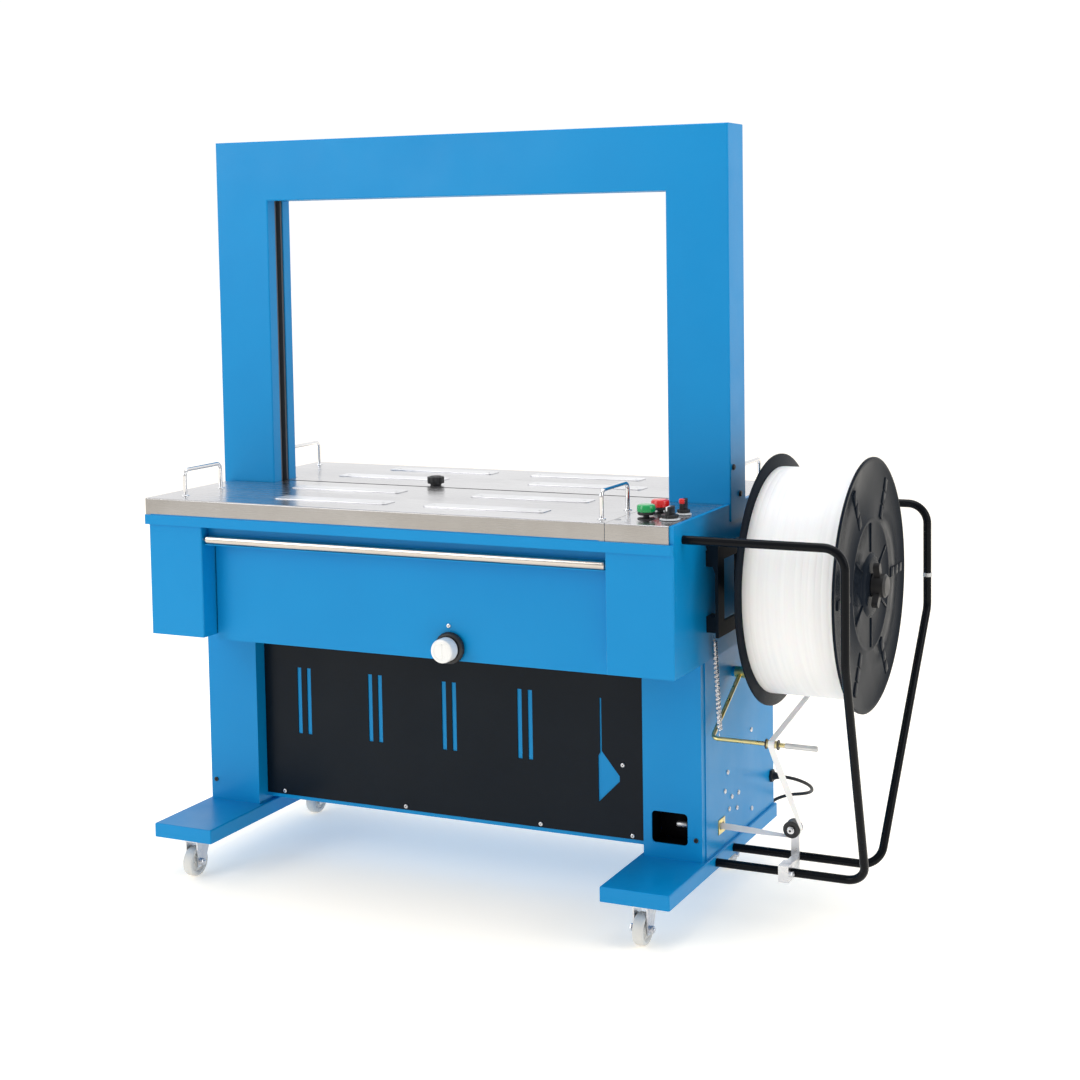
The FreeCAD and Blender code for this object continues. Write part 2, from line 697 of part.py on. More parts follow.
def cabinet():
    """The strap pool cabinet between the columns, its slotted front and the right side cover."""
    x0, x1 = at_x(-435), at_x(434)
    front, rear = at_y(-D.cabinet_front), at_y(D.cabinet_rear)
    low, high = D.cabinet_z, D.cabinet_top
    shell = box((x0, x1), (front + 2, rear), (low, high))
    room = box((x0 + 2, x1 - 2), (front + 4, rear - 2), (low + 8, high - 2))
    node("cabinet_shell", cut(shell, room))
    slots = []
    for x in (-354, -184, -13, 156):
        for shift in (0, 23):
            slots.append(rect((at_x(x + shift), at_x(x + shift + 10)), (263, 402)))
    tri = [(at_x(329), 195), (at_x(329), 286), (at_x(333), 292), (at_x(333), 400), (at_x(337), 400)]
    tri += [(at_x(337), 296), (at_x(374), 250), (at_x(374), 240)]
    flipped = [[(z, x) for x, z in loop] for loop in slots + [tri]]
    outline = rect((low + 8, high - 1), (x0 + 1, x1 - 1))
    panel = extrude("Y", (0, front, 0), 2, outline, flipped)
    node("pool_front_panel", panel)
    side_x = at_x(D.foot_x + 1) + D.column_w / 2
    plate = box((side_x, side_x + 2), (at_y(-132), rear), (D.foot_top, high))
    back = box((x1 + 1, side_x + 2), (rear - 2, rear), (D.foot_top, high))
    inlet_ys = (at_y(-D.pulley_y) - 11, at_y(-D.pulley_y) + 11)
    inlet = box((side_x - 1, side_x + 3), inlet_ys, (D.inlet_z - D.inlet_half, D.inlet_z + D.inlet_half))
    hole = rod("X", (side_x - 1, at_y(D.gland_y), D.gland_z), 8.2, 4)
    pivot = (side_x + 2, at_y(D.pivot_y), D.pivot_z)
    stud = fuse(rod("X", pivot, 6, 29), rod("X", pivot, 10, 5.6))
    head = rod("X", (side_x + 28.4, pivot[1], pivot[2]), 10, 4)
    node("side_cover", fuse(cut(fuse(plate, back), inlet, hole), stud, head))
    heads = []
    for y, z in ((-16, 250), (-32, 217), (6, 196), (44, 194), (34, 166), (-9, 176), (120, 300), (120, 140)):
        heads.append(rod("X", (side_x + 2, at_y(y), z), 5, 3))
    for x, z in ((-391, 137), (-100, 137), (204, 137), (400, 137), (381, 273), (-391, 480), (400, 480)):
        heads.append(rod("Y", (at_x(x), front - 2, z), 4.5, 2))
    node("panel_screws", group(*heads))


# ---------------------------------------------------------------- reel and dispenser


def loop_tube(start_y, top_y):
    """One bent tube of the dispenser: from the foot, out, up and back to the table frame."""
    near_foot = at_x(D.foot_x + D.foot_w / 2)
    knots = [
        (near_foot, at_y(start_y), D.loop_low_z),
        (at_x(D.loop_foot_x), at_y(start_y), D.loop_low_z),
        (at_x(D.loop_x), at_y(top_y), D.loop_knee_z),
        (at_x(D.loop_x), at_y(top_y), D.loop_z),
        (at_x(D.body_right), at_y(top_y), D.loop_z),
    ]
    tube, _, _ = pipe(knots, SIZES["tube_r"], 38)
    return feature(tube)


def reel():
    """The strap reel on its cantilevered shaft."""
    y, z = at_y(-6), D.reel_z
    x0, x1 = at_x(D.reel_x), at_x(D.reel_x + D.reel_w)
    wall = at_x(D.body_right)
    post = box((wall + 20, wall + 26), (y - 172, y + 172), (548, 716))
    windows = [box((wall + 19, wall + 27), (y + a, y + a + 70), (575, 690)) for a in (-140, 70)]
    gusset = extrude("Y", (wall, y - 172, 0), 6, [(724, 0), (724, 26), (650, 26)])
    ties = [
        box((wall, wall + 20), (y + across, y + across + 30), (up, up + 30))
        for across in (-166, 136) for up in (556, 678)
    ]
    shaft = rod("X", (wall + 26, y, z), D.shaft_r, x1 - wall - 8)
    boss = rod("X", (wall + 26, y, z), 32, 18)
    collar = rod("X", (wall + 44, y, z), 21, D.reel_x - D.body_right - 44.5)
    node("reel_support", fuse(cut(post, *windows), gusset, *ties, shaft, boss, collar))
    bore = D.shaft_r + 0.08
    drum, rim, t = D.drum_r, D.flange_r, D.flange_t
    inner = [
        (bore, 0), (rim - 3, 0), (rim, 2), (rim, t), (drum, t), (drum, D.reel_w - t - 0.2),
        (drum - 3, D.reel_w - t - 0.2), (drum - 3, t + 2), (bore + 14, t + 2), (bore + 14, 60), (bore, 60),
    ]
    node("reel_inner_flange", turn("X", (x0, y, z), inner))
    w = D.reel_w
    outer = [
        (bore, w - t - 50), (bore + 12, w - t - 50), (bore + 12, w - t), (rim, w - t), (rim, w - 2),
        (rim - 3, w), (rim - 14, w), (rim - 16, w - 2),
        (bore + 30, w - 2), (bore + 26, w + 4), (bore, w + 4),
    ]
    node("reel_outer_flange", turn("X", (x0, y, z), outer))
    c = D.coil_r
    roll = [(drum + 0.3, t + 0.3), (c - 2, t + 0.3), (c, t + 3), (c, w - t - 3), (c - 2, w - t - 0.3)]
    roll += [(drum + 0.3, w - t - 0.3)]
    node("strap_coil", turn("X", (x0, y, z), roll))
    hub = turn("X", (x1 + 4.3, y, z), [(0, 20), (0, 26), (18, 26), (22, 22), (22, 0), (16, 0), (16, 20)])
    wings = []
    for i in range(3):
        wing = box((x1 + 8.3, x1 + 20.3), (y - 7, y + 7), (z + 20, z + 46))
        soft = rounded(wing, 6, lambda p, way: abs(way.x) > 0.9 and p.z > SIZES["reel_z"] + 45)
        angle = 120 * i + 20
        turned = FreeCAD.Rotation(V(1, 0, 0), angle)
        soft.Placement = FreeCAD.Placement(V(0, 0, 0), turned, V(0, y.value, z.value))
        wings.append(soft)
    node("reel_wing_nut", fuse(hub, *wings))


def strap_path():
    """Brake arm, its spring, the lower pulley on its bracket, and the strap between them."""
    wall = at_x(D.foot_x + 1) + D.column_w / 2 + 2
    pivot = (wall, at_y(D.pivot_y), D.pivot_z)
    elbow_x, rod_y, rod_z = wall + 16, at_y(-D.arm_y), D.arm_z
    bent, _, _ = pipe(
        [(elbow_x, pivot[1], pivot[2]), (elbow_x, rod_y, rod_z), (at_x(775), rod_y, rod_z)],
        SIZES["arm_r"], 12,
    )
    hub = rod("X", (wall + 6, pivot[1], pivot[2]), 11, 20)
    bore = rod("X", (wall, pivot[1], pivot[2]), 6.06, 40)
    roller = rod("X", (at_x(680), rod_y, rod_z), D.arm_roller_r, 20)
    node("brake_arm", cut(fuse(feature(bent), hub, roller), bore))
    top = V(elbow_x.value + 14, at_y(-166).value, 552)
    low = V(elbow_x.value + 16, rod_y.value, rod_z.value + 6.2)
    way = low - top
    spring = Part.makeCylinder(5, way.Length, top, way)
    node("brake_spring", feature(spring))
    x, y, z = at_x(D.pulley_x), at_y(-D.pulley_y), D.pulley_z
    r = D.pulley_r
    lip = r + 0.7
    groove = [
        (4.08, -11.5), (lip, -11.5), (lip, -10), (r, -10), (r, 10), (lip, 10), (lip, 11.5), (4.08, 11.5),
    ]
    node("strap_pulley", turn("Y", (x, y, z), groove))
    pin = rod("Y", (x, y - 14.5, z), 4, 29)
    cap = rod("Y", (x, y - 14.8, z), 7, 3)
    blade = box((x - 8, x + 8), (y + 12.2, y + 16.2), (86, z + 9))
    shoe = box((x - 10, x + 10), (at_y(-112), at_y(-78)), (82, 114))
    link = box((x - 8, x + 8), (at_y(-78), y + 16.2), (104, 110))
    grip = rod("X", (x - 12, at_y(-D.loop_front_foot), D.loop_low_z), D.tube_r + 0.02, 30)
    ears = [rod("X", (x + 10, at_y(a), 98), 5, 5) for a in (-107, -83)]
    node("pulley_bracket", cut(fuse(pin, cap, blade, shoe, link, *ears), grip))


def ribbon(points, width_dirs, width, thick):
    """A flat strap through points, with the direction of its width at each."""
    quads = []
    for i, (point, across) in enumerate(zip(points, width_dirs)):
        ahead = points[min(i + 1, len(points) - 1)] - points[max(i - 1, 0)]
        across = V(across).normalize()
        up = ahead.cross(across).normalize()
        across = up.cross(ahead).normalize()
        half, skin = across * (width / 2), up * (thick / 2)
        ring = [point + half + skin, point - half + skin, point - half - skin, point + half - skin]
        quads.append(Part.makePolygon(ring + [ring[0]]))
    return Part.makeLoft(quads, True, True)


def strap_run():
    """The free run of strap: off the coil, over the arm's roller, round the pulley and in on edge."""
    width, thick, gap = SIZES["strap_w"], SIZES["strap_t"], 0.6
    x0, y0 = SIZES["arch_x"], SIZES["arch_y"]
    skin = gap + thick / 2
    coil_r, arm_r = SIZES["coil_r"] + skin, SIZES["arm_roller_r"] + skin
    pulley_r = SIZES["pulley_r"] + skin
    reel_at = V(0, y0 - 6, SIZES["reel_z"])
    arm_at = V(0, y0 - SIZES["arm_y"], SIZES["arm_z"])
    pulley_at = V(x0 + SIZES["pulley_x"], y0 - SIZES["pulley_y"], SIZES["pulley_z"])
    points, across = [], []

    def on_roll(centre, radius, angle, x):
        points.append(V(x, centre.y + radius * math.cos(angle), centre.z + radius * math.sin(angle)))
        across.append(V(1, 0, 0))

    span = arm_at - reel_at
    heading = math.atan2(span.z, span.y) - math.asin((coil_r + arm_r) / span.Length)
    on_roll(reel_at, coil_r, heading + math.pi / 2, x0 + 720)
    drop = pulley_at - V(pulley_at.x, 0, 0) - arm_at
    leaving = math.atan2(drop.z, drop.y) + math.asin(arm_r / drop.Length)
    for i in range(5):
        on_roll(arm_at, arm_r, heading + (leaving - heading) * i / 4 - math.pi / 2, x0 + 690)
    last = points[-1]
    entry = math.radians(8)
    side = pulley_at + V(pulley_r * math.cos(entry), 0, pulley_r * math.sin(entry))
    for i in range(1, 7):
        points.append(last + (side - last) * (i / 6))
        lean = math.radians(90 * i / 6)
        across.append(V(math.cos(lean), math.sin(lean), 0))
    for i in range(1, 11):
        angle = entry - (entry + math.pi / 2) * i / 10
        points.append(pulley_at + V(pulley_r * math.cos(angle), 0, pulley_r * math.sin(angle)))
        across.append(V(0, 1, 0))
    under = points[-1]
    inlet = V(x0 + 545, pulley_at.y, SIZES["inlet_z"])
    for i in range(1, 9):
        points.append(under + (inlet - under) * (i / 8))
        lean = math.radians(90 * i / 8)
        across.append(V(0, math.cos(lean), math.sin(lean)))
    node("strap_run", feature(ribbon(points, across, width, thick)))


def dispenser():
    node("dispenser_front_loop", loop_tube(-D.loop_front_foot, -D.loop_y))
    node("dispenser_rear_loop", loop_tube(D.loop_rear_foot, D.loop_y))
    reel()
    strap_path()
    strap_run()


# ---------------------------------------------------------------- power cord

# Where the cord runs, in millimetres from the arch: out of the gland, round one loose loop, down
# behind the cabinet and over the floor to the coil.
CORD_ROUTE = [
    (578, 240, 174), (590, 240, 174), (613, 245.5, 169.5), (632.5, 264.5, 155), (631, 289, 136),
    (609, 306, 123), (570, 313, 115), (535, 315, 99), (508, 316, 71), (486, 318, 41),
    (459, 322, 14), (424, 327.5, 3.5), (386, 331.5, 3.5), (350, 334, 3.5), (316, 335.2, 3.5),
    (284, 335.6, 3.5), (266, 335.6, 3.5),
]


def cord():
    """The gland, the lead with its put-away coil, and the plug."""
    wall = at_x(D.foot_x + 1) + D.column_w / 2
    y, z = at_y(D.gland_y), D.gland_z
    nut = turn("X", (wall, y, z), [(0, -6), (8, -6), (8, 2), (12, 2), (12, 8), (8, 8), (5, 24), (0, 24)])
    node("cable_gland", nut)
    route = [(x + SIZES["arch_x"], y + SIZES["arch_y"], z) for x, y, z in CORD_ROUTE]
    tube, length, radii = pipe(route, SIZES["cord_d"] / 2)
    print("cord tube length", round(length), "radii", radii)
    node("power_cord", feature(tube))
    cx, cy, mean = at_x(D.coil_x), at_y(D.coil_y), D.coil_mean_r
    low, high = mean - D.cord_d * 2, mean + D.cord_d * 2
    ring = [
        (low, 3), (low + 3, 0), (high - 3, 0), (high, 3),
        (high, 18), (high - 3, 21), (low + 3, 21), (low, 18),
    ]
    node("cord_coil", turn("Z", (cx, cy, 0), ring))
    px, py = cx - 32, cy - mean - 3.5
    shell = box((px - 59, px - 19), (py - 13, py + 13), (0, 26))
    pins = [rod("X", (px - 78, py + s, 13), 2.4, 19) for s in (-9.5, 9.5)]
    neck = rod("X", (px - 19, py, 13), 5, 19.5)
    soft = rounded(shell, 5, lambda p, way: abs(way.x) > 0.9)
    node("power_plug", fuse(soft, *pins, neck))


# ---------------------------------------------------------------- build, check and write

undercarriage()
housing()
table()
arch()
controls()
sealing_head()
cabinet()
dispenser()
cord()
doc.recompute()

broken = [o.Label for o in doc.Objects if {"Invalid", "Error"} & set(o.State)]
for part in parts:
    if part.Shape.isNull() or not part.Shape.isValid() or not part.Shape.Solids:
        broken.append(part.Label)
if broken:
    raise RuntimeError(f"failed objects: {broken}")

os.makedirs("parts", exist_ok=True)
for part in parts:
    part.Shape.exportStep(f"parts/{part.Label}.step")
print(len(parts), "nodes written")
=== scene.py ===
"""The looks of an arch strapping machine: a material for every CAD node, and detailed pieces on top.

Everything is in metres in the CAD frame: +X right towards the reel, +Y back, +Z up.
"""
import json
import math

import bmesh
import bpy
from mathutils import Matrix, Vector


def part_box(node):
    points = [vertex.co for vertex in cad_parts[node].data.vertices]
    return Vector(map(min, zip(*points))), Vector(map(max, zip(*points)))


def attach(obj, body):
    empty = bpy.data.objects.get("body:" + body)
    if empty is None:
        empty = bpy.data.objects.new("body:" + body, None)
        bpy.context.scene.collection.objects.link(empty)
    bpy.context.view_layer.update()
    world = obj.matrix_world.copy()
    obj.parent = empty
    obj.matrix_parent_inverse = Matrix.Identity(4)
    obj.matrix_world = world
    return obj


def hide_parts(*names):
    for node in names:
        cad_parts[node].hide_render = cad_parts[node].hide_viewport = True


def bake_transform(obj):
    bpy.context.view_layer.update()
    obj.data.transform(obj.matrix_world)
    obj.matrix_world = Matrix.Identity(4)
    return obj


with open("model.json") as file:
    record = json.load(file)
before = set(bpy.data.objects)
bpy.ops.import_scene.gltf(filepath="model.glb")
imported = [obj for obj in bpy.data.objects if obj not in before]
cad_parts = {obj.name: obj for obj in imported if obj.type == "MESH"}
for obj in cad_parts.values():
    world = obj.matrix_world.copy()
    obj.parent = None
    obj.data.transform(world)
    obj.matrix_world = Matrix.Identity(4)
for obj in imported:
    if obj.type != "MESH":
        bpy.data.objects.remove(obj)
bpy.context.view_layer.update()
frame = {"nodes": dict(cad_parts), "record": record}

MM = 0.001
ROOT = "machine_frame"

# A lathe's or plate's local Z turned along each axis.
AXES = {
    "X": Matrix(((0, 0, 1), (1, 0, 0), (0, 1, 0))),
    "Y": Matrix(((0, 1, 0), (0, 0, 1), (1, 0, 0))),
    "Z": Matrix.Identity(3),
    "-Y": Matrix(((1, 0, 0), (0, 0, -1), (0, 1, 0))),
    "-X": Matrix(((0, 0, -1), (-1, 0, 0), (0, 1, 0))),
}


def low(node):
    return Vector(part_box(node)[0])


def high(node):
    return Vector(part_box(node)[1])


def mid(node):
    return (low(node) + high(node)) / 2


def half_size(node):
    return (high(node) - low(node)) / 2


def solids(node):
    """The boxes of the separate solids in a CAD node, as (lowest, highest) pairs."""
    mesh = bmesh.new()
    mesh.from_mesh(frame["nodes"][node].data)
    bmesh.ops.remove_doubles(mesh, verts=mesh.verts, dist=1e-6)
    matrix = frame["nodes"][node].matrix_world
    left = set(mesh.verts)
    boxes = []
    while left:
        island, edge = set(), [left.pop()]
        while edge:
            vert = edge.pop()
            island.add(vert)
            for link in vert.link_edges:
                other = link.other_vert(vert)
                if other in left:
                    left.remove(other)
                    edge.append(other)
        axes = list(zip(*(matrix @ v.co for v in island)))
        boxes.append((Vector([min(axis) for axis in axes]), Vector([max(axis) for axis in axes])))
    mesh.free()
    return sorted(boxes, key=lambda b: tuple(round(c, 4) for c in b[0]))


# The middle of the arch on the floor, which the design's offsets are counted from.
ARCH = Vector((mid("arch_housing").x, mid("arch_housing").y, 0))

# Places counted from there that no CAD node's box gives.
ARM_ROLLER = ARCH + Vector((0.690, -0.140, 0.350))
SPRING_FOOT = ARCH + Vector((0.588, -0.140, 0.3565))
STRAP_LEAVES_X = ARCH.x + 0.72
INLET_Z = 0.156
BRACKET_BOLTS = [ARCH + Vector((0, y, 0.098)) for y in (-0.107, -0.083)]
WINDOW_X, WINDOW_Z = (ARCH.x + 0.449, ARCH.x + 0.528), (0.138, 0.205)
LOOP_CLIP = ARCH + Vector((0.872, 0.284, 0.6))
FOOT_SCREW_X, FOOT_SCREW_Z = 0.542, 0.154
ARCH_PLUGS = [ARCH + Vector((0, y, z)) for y, z in ((-0.028, 0.845), (0.008, 0.79))]
COVER_SCREW_Z = 0.556
PLATE_RIVET = ARCH + Vector((0.449, -0.283, 0))
MOTOR_END = ARCH + Vector((-0.25, 0.16, 0.64))


# ------------ materials


def set_inputs(node, **inputs):
    """Sets inputs by name, with an underscore for each space."""
    for socket, value in inputs.items():
        node.inputs[socket.replace("_", " ")].default_value = value
    return node


class Finish:
    """A Principled material whose texture is built up in steps."""

    def __init__(self, name, color, metallic=0.0, roughness=0.5, **sockets):
        self.mat = bpy.data.materials.new(name)
        self.mat.use_nodes = True
        self.nodes = self.mat.node_tree.nodes
        self.links = self.mat.node_tree.links
        self.shader = self.nodes["Principled BSDF"]
        self.color = (*color, 1.0)
        set_inputs(self.shader, Base_Color=self.color, Metallic=metallic, Roughness=roughness,
                   **sockets)
        surface = self.nodes.new("ShaderNodeTexCoord")
        self.place = surface.outputs["Object"]
        self.facing = surface.outputs["Normal"]
        self.normal = None
        self.base = None

    def noise(self, scale, detail=3.0, stretch=(1, 1, 1)):
        mapping = set_inputs(self.nodes.new("ShaderNodeMapping"), Scale=stretch)
        self.links.new(self.place, mapping.inputs["Vector"])
        node = set_inputs(self.nodes.new("ShaderNodeTexNoise"), Scale=scale, Detail=detail)
        self.links.new(mapping.outputs["Vector"], node.inputs["Vector"])
        return node.outputs["Fac"]

    def spread(self, value, low_out, high_out, low_in=0.3, high_in=0.7):
        node = set_inputs(self.nodes.new("ShaderNodeMapRange"), From_Min=low_in, From_Max=high_in,
                          To_Min=low_out, To_Max=high_out)
        self.links.new(value, node.inputs["Value"])
        return node.outputs["Result"]

    def bump(self, height, depth):
        """Raises the surface by height times depth, in metres."""
        node = set_inputs(self.nodes.new("ShaderNodeBump"), Strength=1.0, Distance=depth)
        self.links.new(height, node.inputs["Height"])
        if self.normal:
            self.links.new(self.normal, node.inputs["Normal"])
        self.normal = node.outputs["Normal"]
        self.links.new(self.normal, self.shader.inputs["Normal"])

    def rough(self, value, low_out, high_out):
        self.links.new(self.spread(value, low_out, high_out), self.shader.inputs["Roughness"])

    def tint(self, value, other, amount, low_in=0.35, high_in=0.65):
        """Mixes the colour towards another one where value is high."""
        node = self.nodes.new("ShaderNodeMix")
        node.data_type = "RGBA"
        set_inputs(node, A=self.color, B=(*other, 1.0))
        if self.base:
            self.links.new(self.base, node.inputs["A"])
        self.links.new(self.spread(value, 0.0, amount, low_in, high_in), node.inputs["Factor"])
        self.base = node.outputs["Result"]
        self.links.new(self.base, self.shader.inputs["Base Color"])

    def level(self):
        """How far the surface faces the piece's own up, from 0 to 1."""
        split = self.nodes.new("ShaderNodeSeparateXYZ")
        self.links.new(self.facing, split.inputs["Vector"])
        return split.outputs["Z"]


def powder_coat(name, color, shade, gloss=0.3):
    """Satin powder coat: orange peel, slight gloss variation and a faint mottle."""
    paint = Finish(name, color, roughness=0.36, Specular_IOR_Level=gloss)
    paint.bump(paint.noise(420, 2.0), 0.00006)
    paint.bump(paint.noise(60, 2.0), 0.0001)
    paint.rough(paint.noise(9, 4.0), 0.28, 0.42)
    paint.tint(paint.noise(5, 3.0), shade, 0.5)
    return paint.mat


def grained(name, color, grain, roughness, depth):
    """Bare steel with a brushed grain, small along the brushing and large across it."""
    steel = Finish(name, color, metallic=1.0, roughness=roughness, Anisotropic=0.5)
    steel.bump(steel.noise(1.0, 4.0, grain), depth)
    coarse = [g * 0.35 for g in grain]
    steel.rough(steel.noise(1.0, 3.0, coarse), roughness * 0.75, roughness * 1.3)
    return steel


def brushed(name, color, grain, roughness, depth=0.00002):
    """Brushed steel, a little darker in faint clouds."""
    steel = grained(name, color, grain, roughness, depth)
    steel.tint(steel.noise(7, 4.0), [c * 0.86 for c in color], 0.8)
    return steel.mat


def table_plate_with_painted_light(name, lip, top, grain, roughness):
    """Brushed plate, painted darker on its lips and lighter on top by which way each face points:
    painted shade and painted light.
    """
    steel = grained(name, lip, grain, roughness, 0.00002)
    # Painted light: faces that point up take the lighter top colour, and the lips keep the darker
    # colour as painted shade.
    steel.tint(steel.level(), top, 1.0, 0.6, 0.95)
    steel.tint(steel.noise(7, 4.0), [c * 0.8 for c in top], 0.35)
    return steel.mat


def plated(name, color, other, roughness):
    """Zinc plate with its clouded, slightly coloured spangle."""
    steel = Finish(name, color, metallic=1.0, roughness=roughness)
    steel.bump(steel.noise(900, 3.0), 0.00002)
    steel.rough(steel.noise(60, 4.0), roughness * 0.7, roughness * 1.4)
    steel.tint(steel.noise(35, 4.0), other, 0.85)
    return steel.mat


def plastic(name, color, roughness, grain=700, depth=0.00002, coat=0.0, gloss=0.5):
    """Moulded plastic with a fine spark-eroded grain and a little uneven gloss."""
    resin = Finish(name, color, roughness=roughness, Coat_Weight=coat, Coat_Roughness=0.12,
                   Specular_IOR_Level=gloss)
    resin.bump(resin.noise(grain, 2.0), depth)
    resin.rough(resin.noise(25, 3.0), roughness * 0.8, min(1.0, roughness * 1.25))
    resin.tint(resin.noise(12, 3.0), [c * 0.85 for c in color], 0.6)
    return resin.mat


def strap_film(name, along, bands):
    """White polypropylene strap, embossed with a fine diamond; bands is its width across the roll."""
    white = (0.86, 0.87, 0.88)
    film = Finish(name, white, roughness=0.36, Subsurface_Weight=0.12, Subsurface_Scale=0.002)
    film.bump(film.noise(1.0, 1.0, along), 0.00008)
    film.rough(film.noise(30, 3.0), 0.3, 0.45)
    film.tint(film.noise(1.0, 2.0, bands), (0.8, 0.8, 0.82), 0.5)
    return film.mat


BLUE = powder_coat("blue_powder_coat", (0.001, 0.25, 0.585), (0.0008, 0.226, 0.55), 0.21)
BLACK = powder_coat("black_powder_coat", (0.002, 0.006, 0.012), (0.004, 0.009, 0.016), 0.14)
ENAMEL = plastic("black_enamel", (0.002, 0.003, 0.005), 0.24, 500, 0.00002, gloss=0.12)
# The table's darker lip colour is painted shade, and its lighter top colour is painted light.
TABLE = table_plate_with_painted_light("table_steel", (0.34, 0.328, 0.318), (0.64, 0.635, 0.65), (14, 1900, 1900), 0.24)
# The hinge bar's warm tint is a painted reflection of warm surroundings on polished steel.
BAR = brushed("hinge_bar_steel", (0.56, 0.52, 0.48), (260, 260, 260), 0.16, 0.00001)
POLISHED = brushed("polished_steel", (0.82, 0.82, 0.83), (260, 260, 260), 0.12, 0.00001)
MACHINED = brushed("machined_steel", (0.5, 0.5, 0.52), (900, 900, 60), 0.34)
ZINC = plated("zinc_plate", (0.72, 0.73, 0.74), (0.6, 0.61, 0.66), 0.3)
YELLOW_ZINC = plated("yellow_zinc_plate", (0.74, 0.6, 0.2), (0.62, 0.56, 0.36), 0.3)
BRASS = plated("plug_brass", (0.72, 0.66, 0.5), (0.6, 0.56, 0.44), 0.25)
CAST = plated("cast_aluminium", (0.62, 0.63, 0.64), (0.52, 0.53, 0.54), 0.45)
DULL_BLACK = plastic("black_plastic", (0.014, 0.014, 0.016), 0.42)
GLOSS_BLACK = plastic("reel_plastic", (0.009, 0.013, 0.02), 0.2, 260, 0.00002, gloss=0.02)
WHITE = plastic("white_plastic", (0.86, 0.87, 0.87), 0.28, coat=0.3)
GREEN = plastic("green_plastic", (0.0, 0.36, 0.09), 0.25, coat=0.4)
RED = plastic("red_plastic", (0.78, 0.015, 0.015), 0.25, coat=0.4)
TRACK = plastic("track_plastic", (0.05, 0.06, 0.075), 0.4)
NYLON = plastic("castor_nylon", (0.72, 0.72, 0.7), 0.4, 500, 0.00003)
RUBBER = plastic("black_rubber", (0.012, 0.012, 0.013), 0.55, 500, 0.00004)
STRAP = strap_film("strap_film", (600, 600, 600), (40, 12, 12))
# Painted shade: the near-black box inside the column's window.
WINDOW_SHADE_BLACK = plastic("window_painted_shade", (0.002, 0.002, 0.003), 0.6, gloss=0.1)
SKIRT = plastic("dial_skirt", (0.62, 0.64, 0.66), 0.3, coat=0.3)
STRIP = brushed("wear_strip_steel", (0.84, 0.84, 0.86), (30, 1500, 1500), 0.34)

SLOT_FINISH = {
    "blue_paint": BLUE, "black_paint": BLACK, "table_steel": TABLE, "polished_steel": POLISHED,
    "zinc_steel": ZINC, "machined_steel": MACHINED, "aluminium": CAST, "black_plastic": DULL_BLACK,
    "white_plastic": WHITE, "green_plastic": GREEN, "red_plastic": RED, "track_plastic": TRACK,
    "strap_plastic": STRAP, "castor_tread": NYLON, "rubber_black": RUBBER,
}
NODE_FINISH = {
    "brake_arm": YELLOW_ZINC, "reel_inner_flange": GLOSS_BLACK, "reel_outer_flange": GLOSS_BLACK,
    "cover_hinge_bar": BAR, "dispenser_front_loop": ENAMEL, "dispenser_rear_loop": ENAMEL,
}


EDGE_RADIUS = 0.0007


def finish_nodes():
    """Gives each CAD node its slot's material, and its edges the small radius of bent sheet."""
    for part in frame["record"]["subparts"]:
        node = frame["nodes"][part["node"]]
        finish = NODE_FINISH.get(part["node"], SLOT_FINISH[part["material_slot"]])
        node.data.materials.clear()
        node.data.materials.append(finish)
        edge = node.modifiers.new("edge", "BEVEL")
        edge.width = EDGE_RADIUS
        edge.segments = 2
        edge.limit_method = "ANGLE"
        edge.angle_limit = math.radians(40)
        edge.harden_normals = True


# ------------ mesh helpers


def add_piece(name, mesh, body, slot, finish=None, nodes=(), sharp=35, at=None, axis="Z", spin=0.0):
    """Links a mesh as a piece that rides on a body and may stand for CAD nodes.

    With at, the mesh is local: its Z is laid along an axis there, and its texture goes with it.
    """
    mesh.materials.clear()
    mesh.materials.append(finish or SLOT_FINISH[slot])
    mesh.shade_smooth()
    mesh.set_sharp_from_angle(angle=math.radians(sharp))
    obj = bpy.data.objects.new(name, mesh)
    bpy.context.collection.objects.link(obj)
    if at is not None:
        turn = AXES[axis].to_4x4() @ Matrix.Rotation(spin, 4, "Z")
        obj.matrix_world = Matrix.Translation(Vector(at)) @ turn
    if body:
        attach(obj, body)
    if nodes:
        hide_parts(*nodes)
    return obj


def to_mesh(name, shape):
    """A mesh from a bmesh, which is used up."""
    mesh = bpy.data.meshes.new(name)
    shape.to_mesh(mesh)
    shape.free()
    return mesh


def merged(meshes):
    """One mesh from several, which are used up."""
    joined = bmesh.new()
    for mesh in meshes:
        joined.from_mesh(mesh)
        bpy.data.meshes.remove(mesh)
    return to_mesh("merged", joined)


def moved(mesh, at=(0, 0, 0), axis="Z", spin=0.0):
    """Turns a local mesh by spin about its own Z, lays that Z along an axis and moves it."""
    turn = AXES[axis].to_4x4() @ Matrix.Rotation(spin, 4, "Z")
    mesh.transform(Matrix.Translation(Vector(at)) @ turn)
    return mesh


